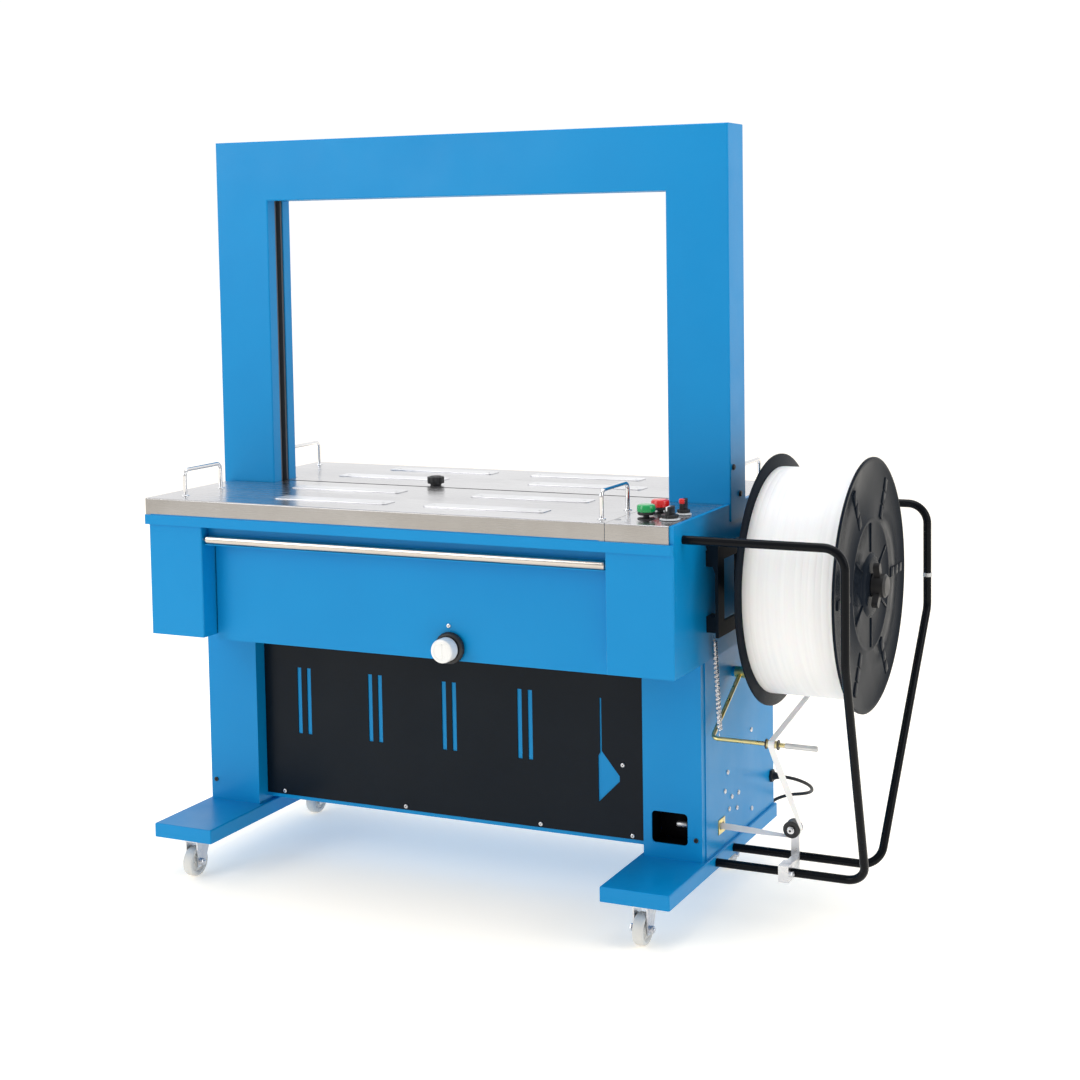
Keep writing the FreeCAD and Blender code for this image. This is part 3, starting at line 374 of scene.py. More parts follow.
def lathe(profile, steps=48):
    """A turned shape from (radius, height) points, about local Z; a point on the axis closes it."""
    shape = bmesh.new()
    rings = []
    for radius, height in profile:
        if radius < 1e-6:
            rings.append([shape.verts.new((0, 0, height))])
            continue
        ring = []
        for i in range(steps):
            angle = 2 * math.pi * i / steps
            ring.append(shape.verts.new((radius * math.cos(angle), radius * math.sin(angle), height)))
        rings.append(ring)
    pairs = list(zip(rings, rings[1:]))
    if len(rings[0]) > 1 and len(rings[-1]) > 1:
        pairs.append((rings[-1], rings[0]))
    for first, second in pairs:
        for i in range(steps):
            j = (i + 1) % steps
            near = [first[i % len(first)], first[j % len(first)]]
            far = [second[j % len(second)], second[i % len(second)]]
            corners = list(dict.fromkeys(near + far))
            if len(corners) > 2:
                shape.faces.new(corners)
    bmesh.ops.recalc_face_normals(shape, faces=shape.faces)
    return to_mesh("lathe", shape)


def mirrored(lower, *middle):
    """A lathe profile that is the same above and below height 0, from its lower half."""
    return [*lower, *middle, *((radius, -height) for radius, height in reversed(lower))]


def block(lo, hi, radius=0.001, segments=2):
    """A box with rounded edges between two corners."""
    lo, hi = Vector(lo), Vector(hi)
    shape = bmesh.new()
    bmesh.ops.create_cube(shape, size=1.0)
    size, centre = hi - lo, (lo + hi) / 2
    for vert in shape.verts:
        vert.co = Vector([vert.co[i] * size[i] + centre[i] for i in range(3)])
    edges = shape.edges[:]
    bmesh.ops.bevel(shape, geom=edges, offset=radius, segments=segments, profile=0.5, affect="EDGES")
    return to_mesh("block", shape)


def from_curve(curve):
    """The mesh of a curve, which is used up."""
    holder = bpy.data.objects.new("holder", curve)
    bpy.context.collection.objects.link(holder)
    bpy.context.view_layer.update()
    shown = holder.evaluated_get(bpy.context.evaluated_depsgraph_get())
    mesh = bpy.data.meshes.new_from_object(shown)
    bpy.data.objects.remove(holder)
    bpy.data.curves.remove(curve)
    return mesh


def add_spline(curve, kind, points):
    """Adds a spline through 3-D points to a curve."""
    spline = curve.splines.new(kind)
    spline.points.add(len(points) - 1)
    for point, co in zip(spline.points, points):
        point.co = (*co, 1)
    return spline


def plate(outlines, depth, edge=0.0003):
    """A flat plate centred on local z = 0 from closed outlines; inner outlines are holes."""
    curve = bpy.data.curves.new("plate", "CURVE")
    curve.dimensions = "2D"
    curve.fill_mode = "BOTH"
    curve.extrude = depth / 2 - edge
    curve.bevel_depth = edge
    curve.bevel_resolution = 1
    curve.offset = -edge
    for outline in outlines:
        add_spline(curve, "POLY", [(x, y, 0) for x, y in outline]).use_cyclic_u = True
    return from_curve(curve)


def circle(radius, steps=32, at=(0, 0)):
    angles = [2 * math.pi * i / steps for i in range(steps)]
    return [(at[0] + radius * math.cos(a), at[1] + radius * math.sin(a)) for a in angles]


def tube(points, radius, closed=False):
    """A round tube through points, as a mesh."""
    curve = bpy.data.curves.new("tube", "CURVE")
    curve.dimensions = "3D"
    curve.bevel_depth = radius
    curve.bevel_resolution = 1
    curve.use_fill_caps = not closed
    add_spline(curve, "POLY", points).use_cyclic_u = closed
    return from_curve(curve)


def pan_screw(radius=0.0045, height=0.0025):
    """A pan-head screw with a cross recess, standing on local z = 0."""
    rim = lathe([(0, 0), (radius, 0), (radius, height * 0.35), (radius * 0.86, height * 0.75),
                 (radius * 0.62, height * 0.93), (radius * 0.55, height * 0.95)], 28)
    arm, slot = radius * 0.42, radius * 0.12
    cross = [(slot, slot), (arm, slot), (arm, -slot), (slot, -slot), (slot, -arm), (-slot, -arm),
             (-slot, -slot), (-arm, -slot), (-arm, slot), (-slot, slot), (-slot, arm), (slot, arm)]
    top = plate([circle(radius * 0.58, 28), cross], height * 0.5, 0.00005)
    return merged([rim, moved(top, (0, 0, height * 0.75))])


def socket_screw(radius, height):
    """A cap screw with a hexagon socket, standing on local z = 0."""
    body = lathe([(0, 0), (radius, 0), (radius, height * 0.9), (radius * 0.93, height),
                  (radius * 0.6, height)], 28)
    ring = plate([circle(radius * 0.62, 28), circle(radius * 0.45, 6)], height * 0.5, 0.00005)
    return merged([body, moved(ring, (0, 0, height * 0.75))])


def hex_nut(radius, height, bore):
    """A hexagon nut on local z = 0 with its stud's end showing."""
    nut = moved(plate([circle(radius, 6), circle(bore, 24)], height), (0, 0, height / 2))
    end = height * 1.5
    stud = lathe([(0, 0), (bore, 0), (bore, height * 1.3), (bore * 0.8, end), (0, end)], 20)
    return merged([nut, stud])


# ------------ camera, light and floor

CAMERA_AT = (1.6276, -3.3061, 1.2775)
# Radians: turned left of straight back, tipped down, and rolled.
CAMERA_PAN, CAMERA_TIP, CAMERA_ROLL = 0.4249, 0.0742, -0.0137
CAMERA_SHIFT = (-0.05, -0.15)
SENSOR_MM, LENS_MM = 36.0, 61.83
FLOOR_REACH = 40.0
WHITE_LIGHT = (1.0, 1.0, 1.0, 1.0)
# The studio's walls are brightest this way, and dimmest the opposite way.
BRIGHT_SIDE, DIM, BRIGHT = (-0.55, 0.83, 0.25), 0.5, 1.03
# Each softbox: name, place, what it faces, its size in metres and its power in watts.
SOFTBOXES = (
    ("key", (-2.6, -3.6, 2.4), (0, 0, 0.7), (2.0, 2.4), 52),
    ("top", (0.2, 0.2, 4.4), (0, 0, 0.5), (3.4, 3.0), 70),
    ("side", (3.6, -0.4, 1.9), (0, 0, 0.6), (1.2, 1.8), 20),
)


def studio_world(scene):
    """A white studio: bright behind the object and overhead, dimmer in front of it and to its right."""
    world = bpy.data.worlds.new("studio")
    world.use_nodes = True
    nodes, links = world.node_tree.nodes, world.node_tree.links
    place = nodes.new("ShaderNodeTexCoord")
    aim = nodes.new("ShaderNodeVectorMath")
    aim.operation = "DOT_PRODUCT"
    aim.inputs[1].default_value = BRIGHT_SIDE
    fall = nodes.new("ShaderNodeMapRange")
    fall.interpolation_type = "SMOOTHSTEP"
    set_inputs(fall, From_Min=-0.75, From_Max=0.6, To_Min=DIM, To_Max=BRIGHT)
    links.new(place.outputs["Generated"], aim.inputs[0])
    links.new(aim.outputs["Value"], fall.inputs["Value"])
    links.new(fall.outputs["Result"], nodes["Background"].inputs["Strength"])
    set_inputs(nodes["Background"], Color=WHITE_LIGHT)
    scene.world = world


def softbox(scene, name, at, aim, size, power):
    light = bpy.data.lights.new(name, "AREA")
    light.shape = "RECTANGLE"
    light.size, light.size_y = size
    light.energy = power
    lamp = bpy.data.objects.new(name, light)
    lamp.location = at
    lamp.rotation_euler = (Vector(aim) - Vector(at)).to_track_quat("-Z", "Y").to_euler()
    scene.collection.objects.link(lamp)


def floor(scene):
    """A pale matt floor that glows a little, so that it meets the white background."""
    slab = bpy.data.meshes.new("floor")
    corners = [(x * FLOOR_REACH, y * FLOOR_REACH, 0) for x, y in ((-1, -1), (1, -1), (1, 1), (-1, 1))]
    slab.from_pydata(corners, [], [(0, 1, 2, 3)])
    paint = Finish("floor_paint", (0.96, 0.9, 0.8), roughness=0.8, Specular_IOR_Level=0.1,
                   Emission_Color=WHITE_LIGHT, Emission_Strength=0.34)
    paint.bump(paint.noise(30, 3.0), 0.0001)
    slab.materials.append(paint.mat)
    ground = bpy.data.objects.new("floor", slab)
    scene.collection.objects.link(ground)


def set_stage():
    scene = bpy.context.scene
    scene.view_settings.view_transform = "Standard"
    lens = bpy.data.cameras.new("camera")
    lens.sensor_width = SENSOR_MM
    lens.lens = LENS_MM
    lens.shift_x, lens.shift_y = CAMERA_SHIFT
    camera = bpy.data.objects.new("camera", lens)
    pan = Matrix.Rotation(CAMERA_PAN, 4, "Z")
    tip = Matrix.Rotation(math.pi / 2 - CAMERA_TIP, 4, "X")
    roll = Matrix.Rotation(CAMERA_ROLL, 4, "Z")
    camera.matrix_world = Matrix.Translation(CAMERA_AT) @ pan @ tip @ roll
    scene.collection.objects.link(camera)
    scene.camera = camera
    studio_world(scene)
    for box in SOFTBOXES:
        softbox(scene, *box)
    floor(scene)


# ------------ power cord

# The route's points from the gland to the coil, in millimetres from the arch.
CORD_ROUTE = [
    (578, 240, 174), (590, 240, 174), (613, 245.5, 169.5), (632.5, 264.5, 155), (631, 289, 136),
    (609, 306, 123), (570, 313, 115), (535, 315, 99), (508, 316, 71), (486, 318, 41),
    (459, 322, 14), (424, 327.5, 3.5), (386, 331.5, 3.5), (350, 334, 3.5), (316, 335.2, 3.5),
    (284, 335.6, 3.5),
]
CORD_D = 0.007
# The put-away coil's layers, in millimetres: height and the radius of each turn.
COIL_LAYERS = ((3.5, (50.5, 43.5, 36.5, 29.5)), (9.7, (33, 40, 47)), (15.9, (36.5, 43.5, 43.5)))
COIL_STEPS = 16
# A quadratic spline through that many control points a turn runs this much inside them.
COIL_SHRINK = 0.981


def coil_turns():
    """The put-away turns: three layers, wound from the outside in, then out, and out again."""
    centre = mid("cord_coil")
    turns = [(z, r) for z, radii in COIL_LAYERS for r in radii]
    points = []
    for k in range((len(turns) - 1) * COIL_STEPS + 1):
        turn, part = divmod(k, COIL_STEPS)
        z, r = turns[turn]
        z2, r2 = turns[min(turn + 1, len(turns) - 1)]
        ease = max(0.0, (part / COIL_STEPS - 0.75) / 0.25)
        z, r = z + (z2 - z) * ease, r + (r2 - r) * ease
        angle = -math.pi / 2 - 2 * math.pi * k / COIL_STEPS
        reach = r * MM / COIL_SHRINK
        points.append((centre.x + reach * math.cos(angle), centre.y + reach * math.sin(angle), z * MM))
    return points


def power_cord():
    route = [ARCH + Vector(point) * MM for point in CORD_ROUTE]
    coil = coil_turns()
    x, y, _ = coil[-1]
    plug = mid("power_plug")
    tail = [(x - 0.016, y + 0.0004, 0.0154), (high("power_plug").x - 0.004, plug.y, plug.z)]
    points = route + [Vector(point) for point in coil + tail]
    curve = bpy.data.curves.new("cord", "CURVE")
    curve.dimensions = "3D"
    curve.bevel_depth = CORD_D / 2
    curve.bevel_resolution = 3
    curve.resolution_u = 6
    curve.use_fill_caps = True
    spline = add_spline(curve, "NURBS", points)
    spline.order_u = 3
    spline.use_endpoint_u = True
    sheath = Finish("cord_sheath", (0.012, 0.012, 0.013), roughness=0.48)
    sheath.bump(sheath.noise(900, 2.0), 0.00003)
    sheath.rough(sheath.noise(40, 3.0), 0.4, 0.6)
    curve.materials.append(sheath.mat)
    cord = bpy.data.objects.new("power_cord_line", curve)
    bpy.context.collection.objects.link(cord)
    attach(cord, ROOT)
    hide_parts("power_cord", "cord_coil")
    middles = [(a + b) / 2 for a, b in zip(points, points[1:])]
    length = sum((b - a).length for a, b in zip(middles, middles[1:]))
    return cord, route[0], length


def cord_gland():
    """A gland with a hexagon body and a ribbed, tapered sleeve."""
    centre = mid("cable_gland")
    at = (low("cable_gland").x + 6 * MM, centre.y, centre.z)
    bore = 0.0036
    parts = [
        moved(plate([circle(0.0135, 6), circle(0.0038, 24)], 0.006, 0.0006), (0, 0, 0.005)),
        lathe([(bore, 0), (0.0118, 0), (0.0118, 0.002), (bore, 0.002)], 40),
    ]
    sleeve = [(bore, 0.0075), (0.0092, 0.0075), (0.0092, 0.009)]
    for i in range(5):
        height, radius = 0.0095 + 0.0029 * i, 0.0082 - 0.0008 * i
        sleeve += [(radius, height), (radius, height + 0.0017)]
        sleeve += [(radius - 0.0008, height + 0.0019), (radius - 0.0008, height + 0.0027)]
    sleeve.append((bore, sleeve[-1][1]))
    parts.append(lathe(sleeve, 32))
    gland = moved(merged(parts), at, "X")
    return add_piece("cord_gland_detail", gland, ROOT, "black_plastic", nodes=("cable_gland",))


def cord_plug():
    """A moulded plug with grip ribs and two round pins, lying beside the coil."""
    lo, hi = low("power_plug"), high("power_plug")
    centre = mid("power_plug")
    body_lo = Vector((lo.x + 19 * MM, lo.y, lo.z + 0.0002))
    body_hi = Vector((lo.x + 59 * MM, hi.y, hi.z))
    parts = [block(body_lo, body_hi, 0.005, 4)]
    for i in range(5):
        x = body_lo.x + (14 + 4 * i) * MM
        for side in (-1, 1):
            y, z = centre.y + side * 12.4 * MM, centre.z
            parts.append(block((x, y - 0.0006, z - 0.008), (x + 0.002, y + 0.0006, z + 0.008), 0.0004))
    bore = 0.0034
    sleeve = [(bore, 0), (0.0062, 0)]
    for i in range(4):
        radius, height = 0.0062 - 0.0004 * i, 0.0035 * i
        sleeve += [(radius, height + 0.0024), (radius - 0.0008, height + 0.0028)]
        sleeve += [(radius - 0.0008, height + 0.0035)]
    sleeve.append((bore, 0.0145))
    parts.append(moved(lathe(sleeve, 28), (body_hi.x - 0.001, centre.y, centre.z), "X"))
    plug = add_piece("plug_detail", merged(parts), ROOT, "rubber_black", nodes=("power_plug",))
    pins = []
    for side in (-9.5, 9.5):
        pin = lathe([(0, 0), (0.0018, 0.0004), (0.0024, 0.0016), (0.0024, 0.0195), (0, 0.0195)], 24)
        pins.append(moved(pin, (lo.x, centre.y + side * MM, centre.z), "X"))
    pair = add_piece("plug_pins", merged(pins), ROOT, "polished_steel", BRASS)
    return plug, pair


def cord_tie():
    """A flat tie round the coil's bundle, at its back."""
    centre = mid("cord_coil")
    loops = []
    steps = 28
    for shift in (-0.0022, 0, 0.0022):
        points = []
        for i in range(steps):
            angle = 2 * math.pi * i / steps
            radial = 0.040 + 0.0158 * math.cos(angle)
            z = 0.0108 + 0.0112 * math.sin(angle)
            points.append((centre.x + shift, centre.y + radial, max(z, 0.0013)))
        loops.append(tube(points, 0.0012, closed=True))
    return add_piece("cord_tie", merged(loops), ROOT, "white_plastic")


def all_cords():
    cord, leaves, length = power_cord()
    gland = cord_gland()
    plug, pins = cord_plug()
    tie = cord_tie()


# ------------ reel and strap


def strap_roll():
    """The coil of strap: side-by-side traverses with the faint valley between each pair."""
    lo, hi = low("strap_coil"), high("strap_coil")
    core, radius, width = 0.1005, (hi.z - lo.z) / 2, hi.x - lo.x
    traverses = 14
    step = width / traverses
    profile = [(core, 0.0), (radius - 0.0015, 0.0)]
    for i in range(traverses):
        start = width * i / traverses
        crest = radius - (0.0001 if i % 2 else 0.0)
        profile += [(crest - 0.0002, start + 0.0002), (crest, start + 0.0016)]
        profile += [(crest, start + step - 0.0016), (crest - 0.0002, start + step - 0.0002)]
    profile += [(radius - 0.0015, width), (core, width)]
    centre = mid("strap_coil")
    film = strap_film("wound_strap", (500, 500, 500), (3, 3, 160))
    add_piece("strap_coil_wound", lathe(profile, 128), "reel", "strap_plastic", film,
              ("strap_coil",), at=(lo.x, centre.y, centre.z), axis="X")


def flange(node, face_x, facing):
    """A moulded reel flange: rolled rim, raised rings, a hub and six stepped radial ribs."""
    centre = mid("strap_coil")
    rim = half_size(node).z
    profile = [
        (0.0152, 0), (rim - 0.004, 0), (rim, 0.0018), (rim, 0.0045), (rim - 0.0025, 0.006),
        (rim - 0.009, 0.006), (rim - 0.012, 0.0044), (0.128, 0.0044), (0.125, 0.0058), (0.119, 0.0058),
        (0.116, 0.0044), (0.06, 0.0044), (0.055, 0.0078), (0.044, 0.0088), (0.0152, 0.0088),
    ]
    parts = [lathe(profile, 128)]
    for i in range(6):
        angle = math.radians(60 * i)
        for start in (0.134, 0.1615, 0.189):
            step = block((start, -0.0085, 0.0035), (start + 0.025, 0.0085, 0.0062), 0.0008)
            parts.append(moved(step, spin=angle))
        web = block((0.062, -0.0025, 0.0035), (0.1165, 0.0025, 0.0066), 0.0008)
        parts.append(moved(web, spin=angle + math.radians(30)))
    add_piece(f"{node}_ribbed", merged(parts), "reel", "black_plastic", GLOSS_BLACK, (node,),
              at=(face_x, centre.y, centre.z), axis=facing, sharp=30)


def ribbon(points, across, width=0.012, thick=0.0009):
    """A strap through points with rounded edges; across is the direction of its width at each."""
    shape = bmesh.new()
    rings = []
    half, skin = width / 2, thick / 2
    section = [(-half, 0), (-half + 0.0004, skin), (half - 0.0004, skin), (half, 0),
               (half - 0.0004, -skin), (-half + 0.0004, -skin)]
    for i, (point, side) in enumerate(zip(points, across)):
        ahead = (points[min(i + 1, len(points) - 1)] - points[max(i - 1, 0)]).normalized()
        up = ahead.cross(side).normalized()
        side = up.cross(ahead).normalized()
        rings.append([shape.verts.new(point + side * a + up * b) for a, b in section])
    for first, second in zip(rings, rings[1:]):
        for i in range(len(section)):
            j = (i + 1) % len(section)
            shape.faces.new((first[i], first[j], second[j], second[i]))
    shape.faces.new(rings[0])
    shape.faces.new(rings[-1])
    bmesh.ops.recalc_face_normals(shape, faces=shape.faces)
    return to_mesh("ribbon", shape)


def strap_strands():
    """The free strap: off the coil to the arm's roller, then down, round the pulley and in on edge."""
    gap = 0.001
    reel, pulley, arm = mid("strap_coil"), mid("strap_pulley"), ARM_ROLLER
    coil_r, arm_r, pulley_r = half_size("strap_coil").z + gap, 0.007 + gap, 0.0155 + gap
    slope = Vector((0, arm.y - reel.y, arm.z - reel.z))
    heading = math.atan2(slope.z, slope.y) - math.asin((coil_r + arm_r) / slope.length)
    straight, round_arm, round_pulley = 24, 12, 16

    def on_roll(centre, radius, angle, x):
        return Vector((x, centre.y + radius * math.cos(angle), centre.z + radius * math.sin(angle)))

    def on_pulley(angle):
        return pulley + Vector((pulley_r * math.cos(angle), 0, pulley_r * math.sin(angle)))

    off = on_roll(reel, coil_r, heading + math.pi / 2, STRAP_LEAVES_X)
    touch = on_roll(arm, arm_r, heading - math.pi / 2, arm.x)
    first = [off.lerp(touch, i / straight) for i in range(straight + 1)]
    upper = add_piece("strap_strand_upper", ribbon(first, [Vector((1, 0, 0))] * len(first)), None,
                      "strap_plastic", None, ("strap_run",))
    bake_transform(upper)

    drop = Vector((0, pulley.y - arm.y, pulley.z - arm.z))
    leaving = math.atan2(drop.z, drop.y) + math.asin(arm_r / drop.length)
    points, across = [], []
    for i in range(round_arm + 1):
        angle = heading + (leaving - heading) * i / round_arm - math.pi / 2
        points.append(on_roll(arm, arm_r, angle, arm.x))
        across.append(Vector((1, 0, 0)))
    entry = math.radians(8)
    side = on_pulley(entry)
    start = points[-1].copy()
    for i in range(1, straight + 1):
        lean = math.radians(90 * i / straight)
        points.append(start.lerp(side, i / straight))
        across.append(Vector((math.cos(lean), math.sin(lean), 0)))
    for i in range(1, round_pulley + 1):
        points.append(on_pulley(entry - (entry + math.pi / 2) * i / round_pulley))
        across.append(Vector((0, 1, 0)))
    under = points[-1].copy()
    inlet = Vector((pulley.x - 0.155, pulley.y, INLET_Z))
    for i in range(1, straight + 1):
        lean = math.radians(90 * i / straight)
        points.append(under.lerp(inlet, i / straight))
        across.append(Vector((0, math.cos(lean), math.sin(lean))))
    lower = add_piece("strap_strand_lower", ribbon(points, across), None, "strap_plastic")
    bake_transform(lower)


def brake_spring():
    """A close-wound tension spring with a hook at each end."""
    lo, hi = low("brake_spring"), high("brake_spring")
    top = Vector((hi.x - 0.005, lo.y + 0.005, hi.z - 0.001))
    foot = SPRING_FOOT
    way, length = (foot - top).normalized(), (foot - top).length
    side = way.cross(Vector((1, 0, 0))).normalized()
    other = way.cross(side)
    radius, wire, hook = 0.0043, 0.00085, 0.012
    turns, per_turn = 62, 10
    points = [top + side * 0.003, top + side * radius + way * 0.004, top + way * (hook - 0.003)]
    for k in range(turns * per_turn + 1):
        angle = 2 * math.pi * k / per_turn
        along = hook + (length - 2 * hook) * k / (turns * per_turn)
        bow = side * (radius * math.cos(angle)) + other * (radius * math.sin(angle))
        points.append(top + way * along + bow)
    points += [foot - way * (hook - 0.003), foot - way * 0.005 + side * radius, foot + side * 0.0025]
    spring = add_piece("brake_spring_coil", tube(points, wire), None, "zinc_steel", POLISHED,
                       ("brake_spring",))
    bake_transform(spring)


def arm_fittings():
    """The grey sleeve on the arm's free end and the two collars of its strap roller."""
    bore, roller = 0.0041, ARM_ROLLER
    collars = []
    for shift in (-0.0125, 0.0105):
        collar = lathe([(bore, 0), (0.0095, 0.0004), (0.0095, 0.0022), (bore, 0.0026)], 32)
        collars.append(moved(collar, (roller.x + shift, roller.y, roller.z), "X"))
    add_piece("arm_roller_collars", merged(collars), "brake", "black_plastic")
    sleeve = lathe([(bore, 0), (0.0052, 0.0006), (0.0052, 0.06), (0.0046, 0.0615), (0, 0.0615)], 32)
    add_piece("arm_end_sleeve", sleeve, "brake", "zinc_steel", CAST,
              at=(roller.x + 0.025, roller.y, roller.z), axis="X")


def pulley_and_bolts():
    """The lower pulley with its bearing, and the bracket's bolts."""
    lo, centre, size = low("strap_pulley"), mid("strap_pulley"), half_size("strap_pulley")
    half, lip = size.y, size.z
    lower = [
        (0.0042, -half + 0.002), (0.0085, -half + 0.002), (0.009, -half), (lip - 0.0012, -half),
        (lip, -half + 0.0008), (lip, -half + 0.0014), (0.0155, -half + 0.0022),
    ]
    wheel = lathe(mirrored(lower, (0.0153, 0)), 64)
    add_piece("strap_pulley_turned", wheel, "pulley", "black_plastic", None, ("strap_pulley",),
              at=centre, axis="Y")
    bolts = [moved(socket_screw(0.0055, 0.004), (centre.x, lo.y - 0.0033, centre.z), "-Y")]
    for at in BRACKET_BOLTS:
        bolts.append(moved(hex_nut(0.0058, 0.0035, 0.0026), (centre.x + 0.015, at.y, at.z), "X"))
    add_piece("bracket_bolts", merged(bolts), ROOT, "zinc_steel")


def strap_guide():
    """The small brass-coloured guide where the strap goes in through the side cover."""
    wall = high("side_cover").x - 0.0304
    outlines = []
    for x, y in ((0.014, 0.017), (0.006, 0.0105)):
        outlines.append([(-x, -y), (x, -y), (x, y), (-x, y)])
    add_piece("strap_guide", plate(outlines, 0.002), ROOT, "zinc_steel", YELLOW_ZINC,
              at=(wall + 0.001, ARCH.y - 0.053, INLET_Z), axis="X", spin=math.radians(90))


def column_window():
    """A near-black box behind the right column's window, painted shade for its dark inside, with a pale
    rounded lever in it.
    """
    face = low("right_column").y + 0.003
    (x0, x1), (z0, z1) = WINDOW_X, WINDOW_Z
    back, wall = face + 0.05, 0.002
    walls = [
        block((x0, back, z0), (x1, back + wall, z1), 0.0005),
        block((x0 - wall, face, z0), (x0, back, z1), 0.0005),
        block((x1, face, z0), (x1 + wall, back, z1), 0.0005),
        block((x0, face, z0 - wall), (x1, back, z0), 0.0005),
        block((x0, face, z1), (x1, back, z1 + wall), 0.0005),
    ]
    add_piece("column_window_shade_box", merged(walls), ROOT, "black_plastic", WINDOW_SHADE_BLACK)
    lever = lathe([(0, 0), (0.0045, 0.0008), (0.006, 0.003), (0.006, 0.021), (0.0045, 0.0232),
                   (0, 0.024)], 32)
    add_piece("column_window_lever", lever, ROOT, "white_plastic", CAST,
              at=(x0 + 0.041, face + 0.03, z0 + 0.033), axis="X")


def loop_clip():
    """The light clip round the rear tube."""
    ring = lathe([(0.0081, 0), (0.0094, 0.0006), (0.0094, 0.0074), (0.0081, 0.008)], 40)
    ear = block((-0.003, 0.0085, 0.001), (0.003, 0.0125, 0.007), 0.0008)
    add_piece("loop_clip", merged([ring, ear]), ROOT, "zinc_steel", CAST, at=LOOP_CLIP)


def dispenser_details():
    strap_roll()
    flange("reel_outer_flange", high("reel_outer_flange").x - 0.010, "X")
    flange("reel_inner_flange", low("reel_inner_flange").x + 0.006, "-X")
    strap_strands()
    brake_spring()
    arm_fittings()
    pulley_and_bolts()
    strap_guide()
    column_window()
    loop_clip()


# ------------ controls and knobs


def fluted(radius, flutes, depth, steps=6):
    """A knob's outline with round hollows for the fingers."""
    points = []
    total = flutes * steps
    for k in range(total):
        angle = 2 * math.pi * k / total
        hollow = max(0.0, math.cos(flutes * angle)) ** 2
        reach = radius - depth * hollow
        points.append((reach * math.cos(angle), reach * math.sin(angle)))
    return points


def seat(node):
    """Where a control stands on the control plate, its radius and its height there."""
    at = Vector((mid(node).x, mid(node).y, low("control_plate").z + 0.033))
    return at, half_size(node).x, high(node).z - at.z


def push_button(name, node, body, slot):
    """A mushroom cap on a black skirt, and the bezel ring it sinks into."""
    at, rim, top = seat(node)
    stem, hole = 0.0055, 0.0066
    cap = [
        (stem, 0.0128), (rim - 0.0015, 0.0128), (rim, 0.0145), (rim, top - 0.004),
        (rim - 0.0012, top - 0.0016), (rim - 0.0035, top - 0.0006), (rim * 0.5, top - 0.0001), (0, top),
    ]
    add_piece(f"{name}_cap", lathe(cap, 48), body, slot, None, (node,), at=at)
    skirt = [
        (0, -0.010), (stem, -0.010), (stem, 0.0068), (rim - 0.003, 0.0072), (rim - 0.001, 0.009),
        (rim - 0.001, 0.0126), (0, 0.0126),
    ]
    add_piece(f"{name}_skirt", lathe(skirt, 48), body, "black_plastic", at=at)
    ring = [(hole, 0), (rim - 0.0005, 0), (rim - 0.001, 0.0016), (rim - 0.003, 0.0024), (hole, 0.0024)]
    add_piece(f"{name}_bezel", lathe(ring, 48), ROOT, "black_plastic", at=at)


def dial(name, node, body, red_tip=False):
    """A fluted knob with a grip bar, on a light skirt with scale marks."""
    at, rim, top = seat(node)
    skirt = lathe([(0, 0.001), (rim, 0.001), (rim, 0.0022), (rim - 0.003, 0.0042), (0, 0.0042)], 56)
    add_piece(f"{name}_skirt", skirt, body, "black_plastic", SKIRT, (node,), at=at)
    base = moved(plate([fluted(rim - 0.003, 12, 0.0012)], 0.006, 0.0006), (0, 0, 0.0072))
    bar = block((-0.0042, -rim + 0.0032, 0.009), (0.0042, rim - 0.0032, top), 0.0018, 3)
    add_piece(f"{name}_knob", merged([base, bar]), body, "black_plastic", at=at)
    marks = []
    for i in range(11):
        mark = block((rim - 0.0026, -0.0003, 0.0024), (rim - 0.0008, 0.0003, 0.0033), 0.0001, 1)
        marks.append(moved(mark, spin=math.radians(-150 + 30 * i)))
    add_piece(f"{name}_marks", merged(marks), body, "black_plastic", at=at)
    end = -rim + 0.0028
    if red_tip:
        pointer = block((-0.0046, end, top - 0.009), (0.0046, end + 0.0077, top + 0.0008), 0.0018, 3)
    else:
        pointer = block((-0.0014, end, top - 0.0075), (0.0014, 0.002, top + 0.0006), 0.0006)
    add_piece(f"{name}_pointer", pointer, body, "red_plastic" if red_tip else "white_plastic", at=at)


def latch():
    """The quarter-turn latch: a black ring and a white turning disc with its finger groove."""
    front, centre, rim = high("latch_base").y, mid("latch_base"), half_size("latch_base").x
    face = Vector((centre.x, front, centre.z))
    ring = [
        (0.0, 0), (rim - 0.003, 0), (rim, 0.003), (rim, 0.0085), (rim - 0.0015, 0.0115),
        (rim - 0.004, 0.013), (0.0245, 0.013), (0.0235, 0.011), (0, 0.011),
    ]
    grips = [lathe(ring, 72)]
    teeth = 24
    for i in range(teeth):
        tooth = block((rim - 0.0012, -0.0013, 0.0035), (rim + 0.0006, 0.0013, 0.0085), 0.0005)
        grips.append(moved(tooth, spin=2 * math.pi * i / teeth))
    add_piece("latch_ring", merged(grips), "hinged_cover", "black_plastic", None, ("latch_base",),
              at=face, axis="-Y")
    edge, deep = half_size("latch_knob").x, front - low("latch_knob").y
    disc = [
        (0, 0.0133), (edge - 0.003, 0.0133), (edge, 0.017), (edge, deep - 0.004),
        (edge - 0.001, deep - 0.0016), (edge - 0.0035, deep - 0.0002), (edge - 0.006, deep),
        (edge - 0.0075, deep - 0.0012), (0.004, deep - 0.0008), (0, deep - 0.0008),
    ]
    bar = block((-0.0022, -edge + 0.009, deep - 0.003), (0.0022, edge - 0.009, deep + 0.0002), 0.001)
    add_piece("latch_disc", merged([lathe(disc, 72), bar]), "latch", "white_plastic", None,
              ("latch_knob",), at=face, axis="-Y")


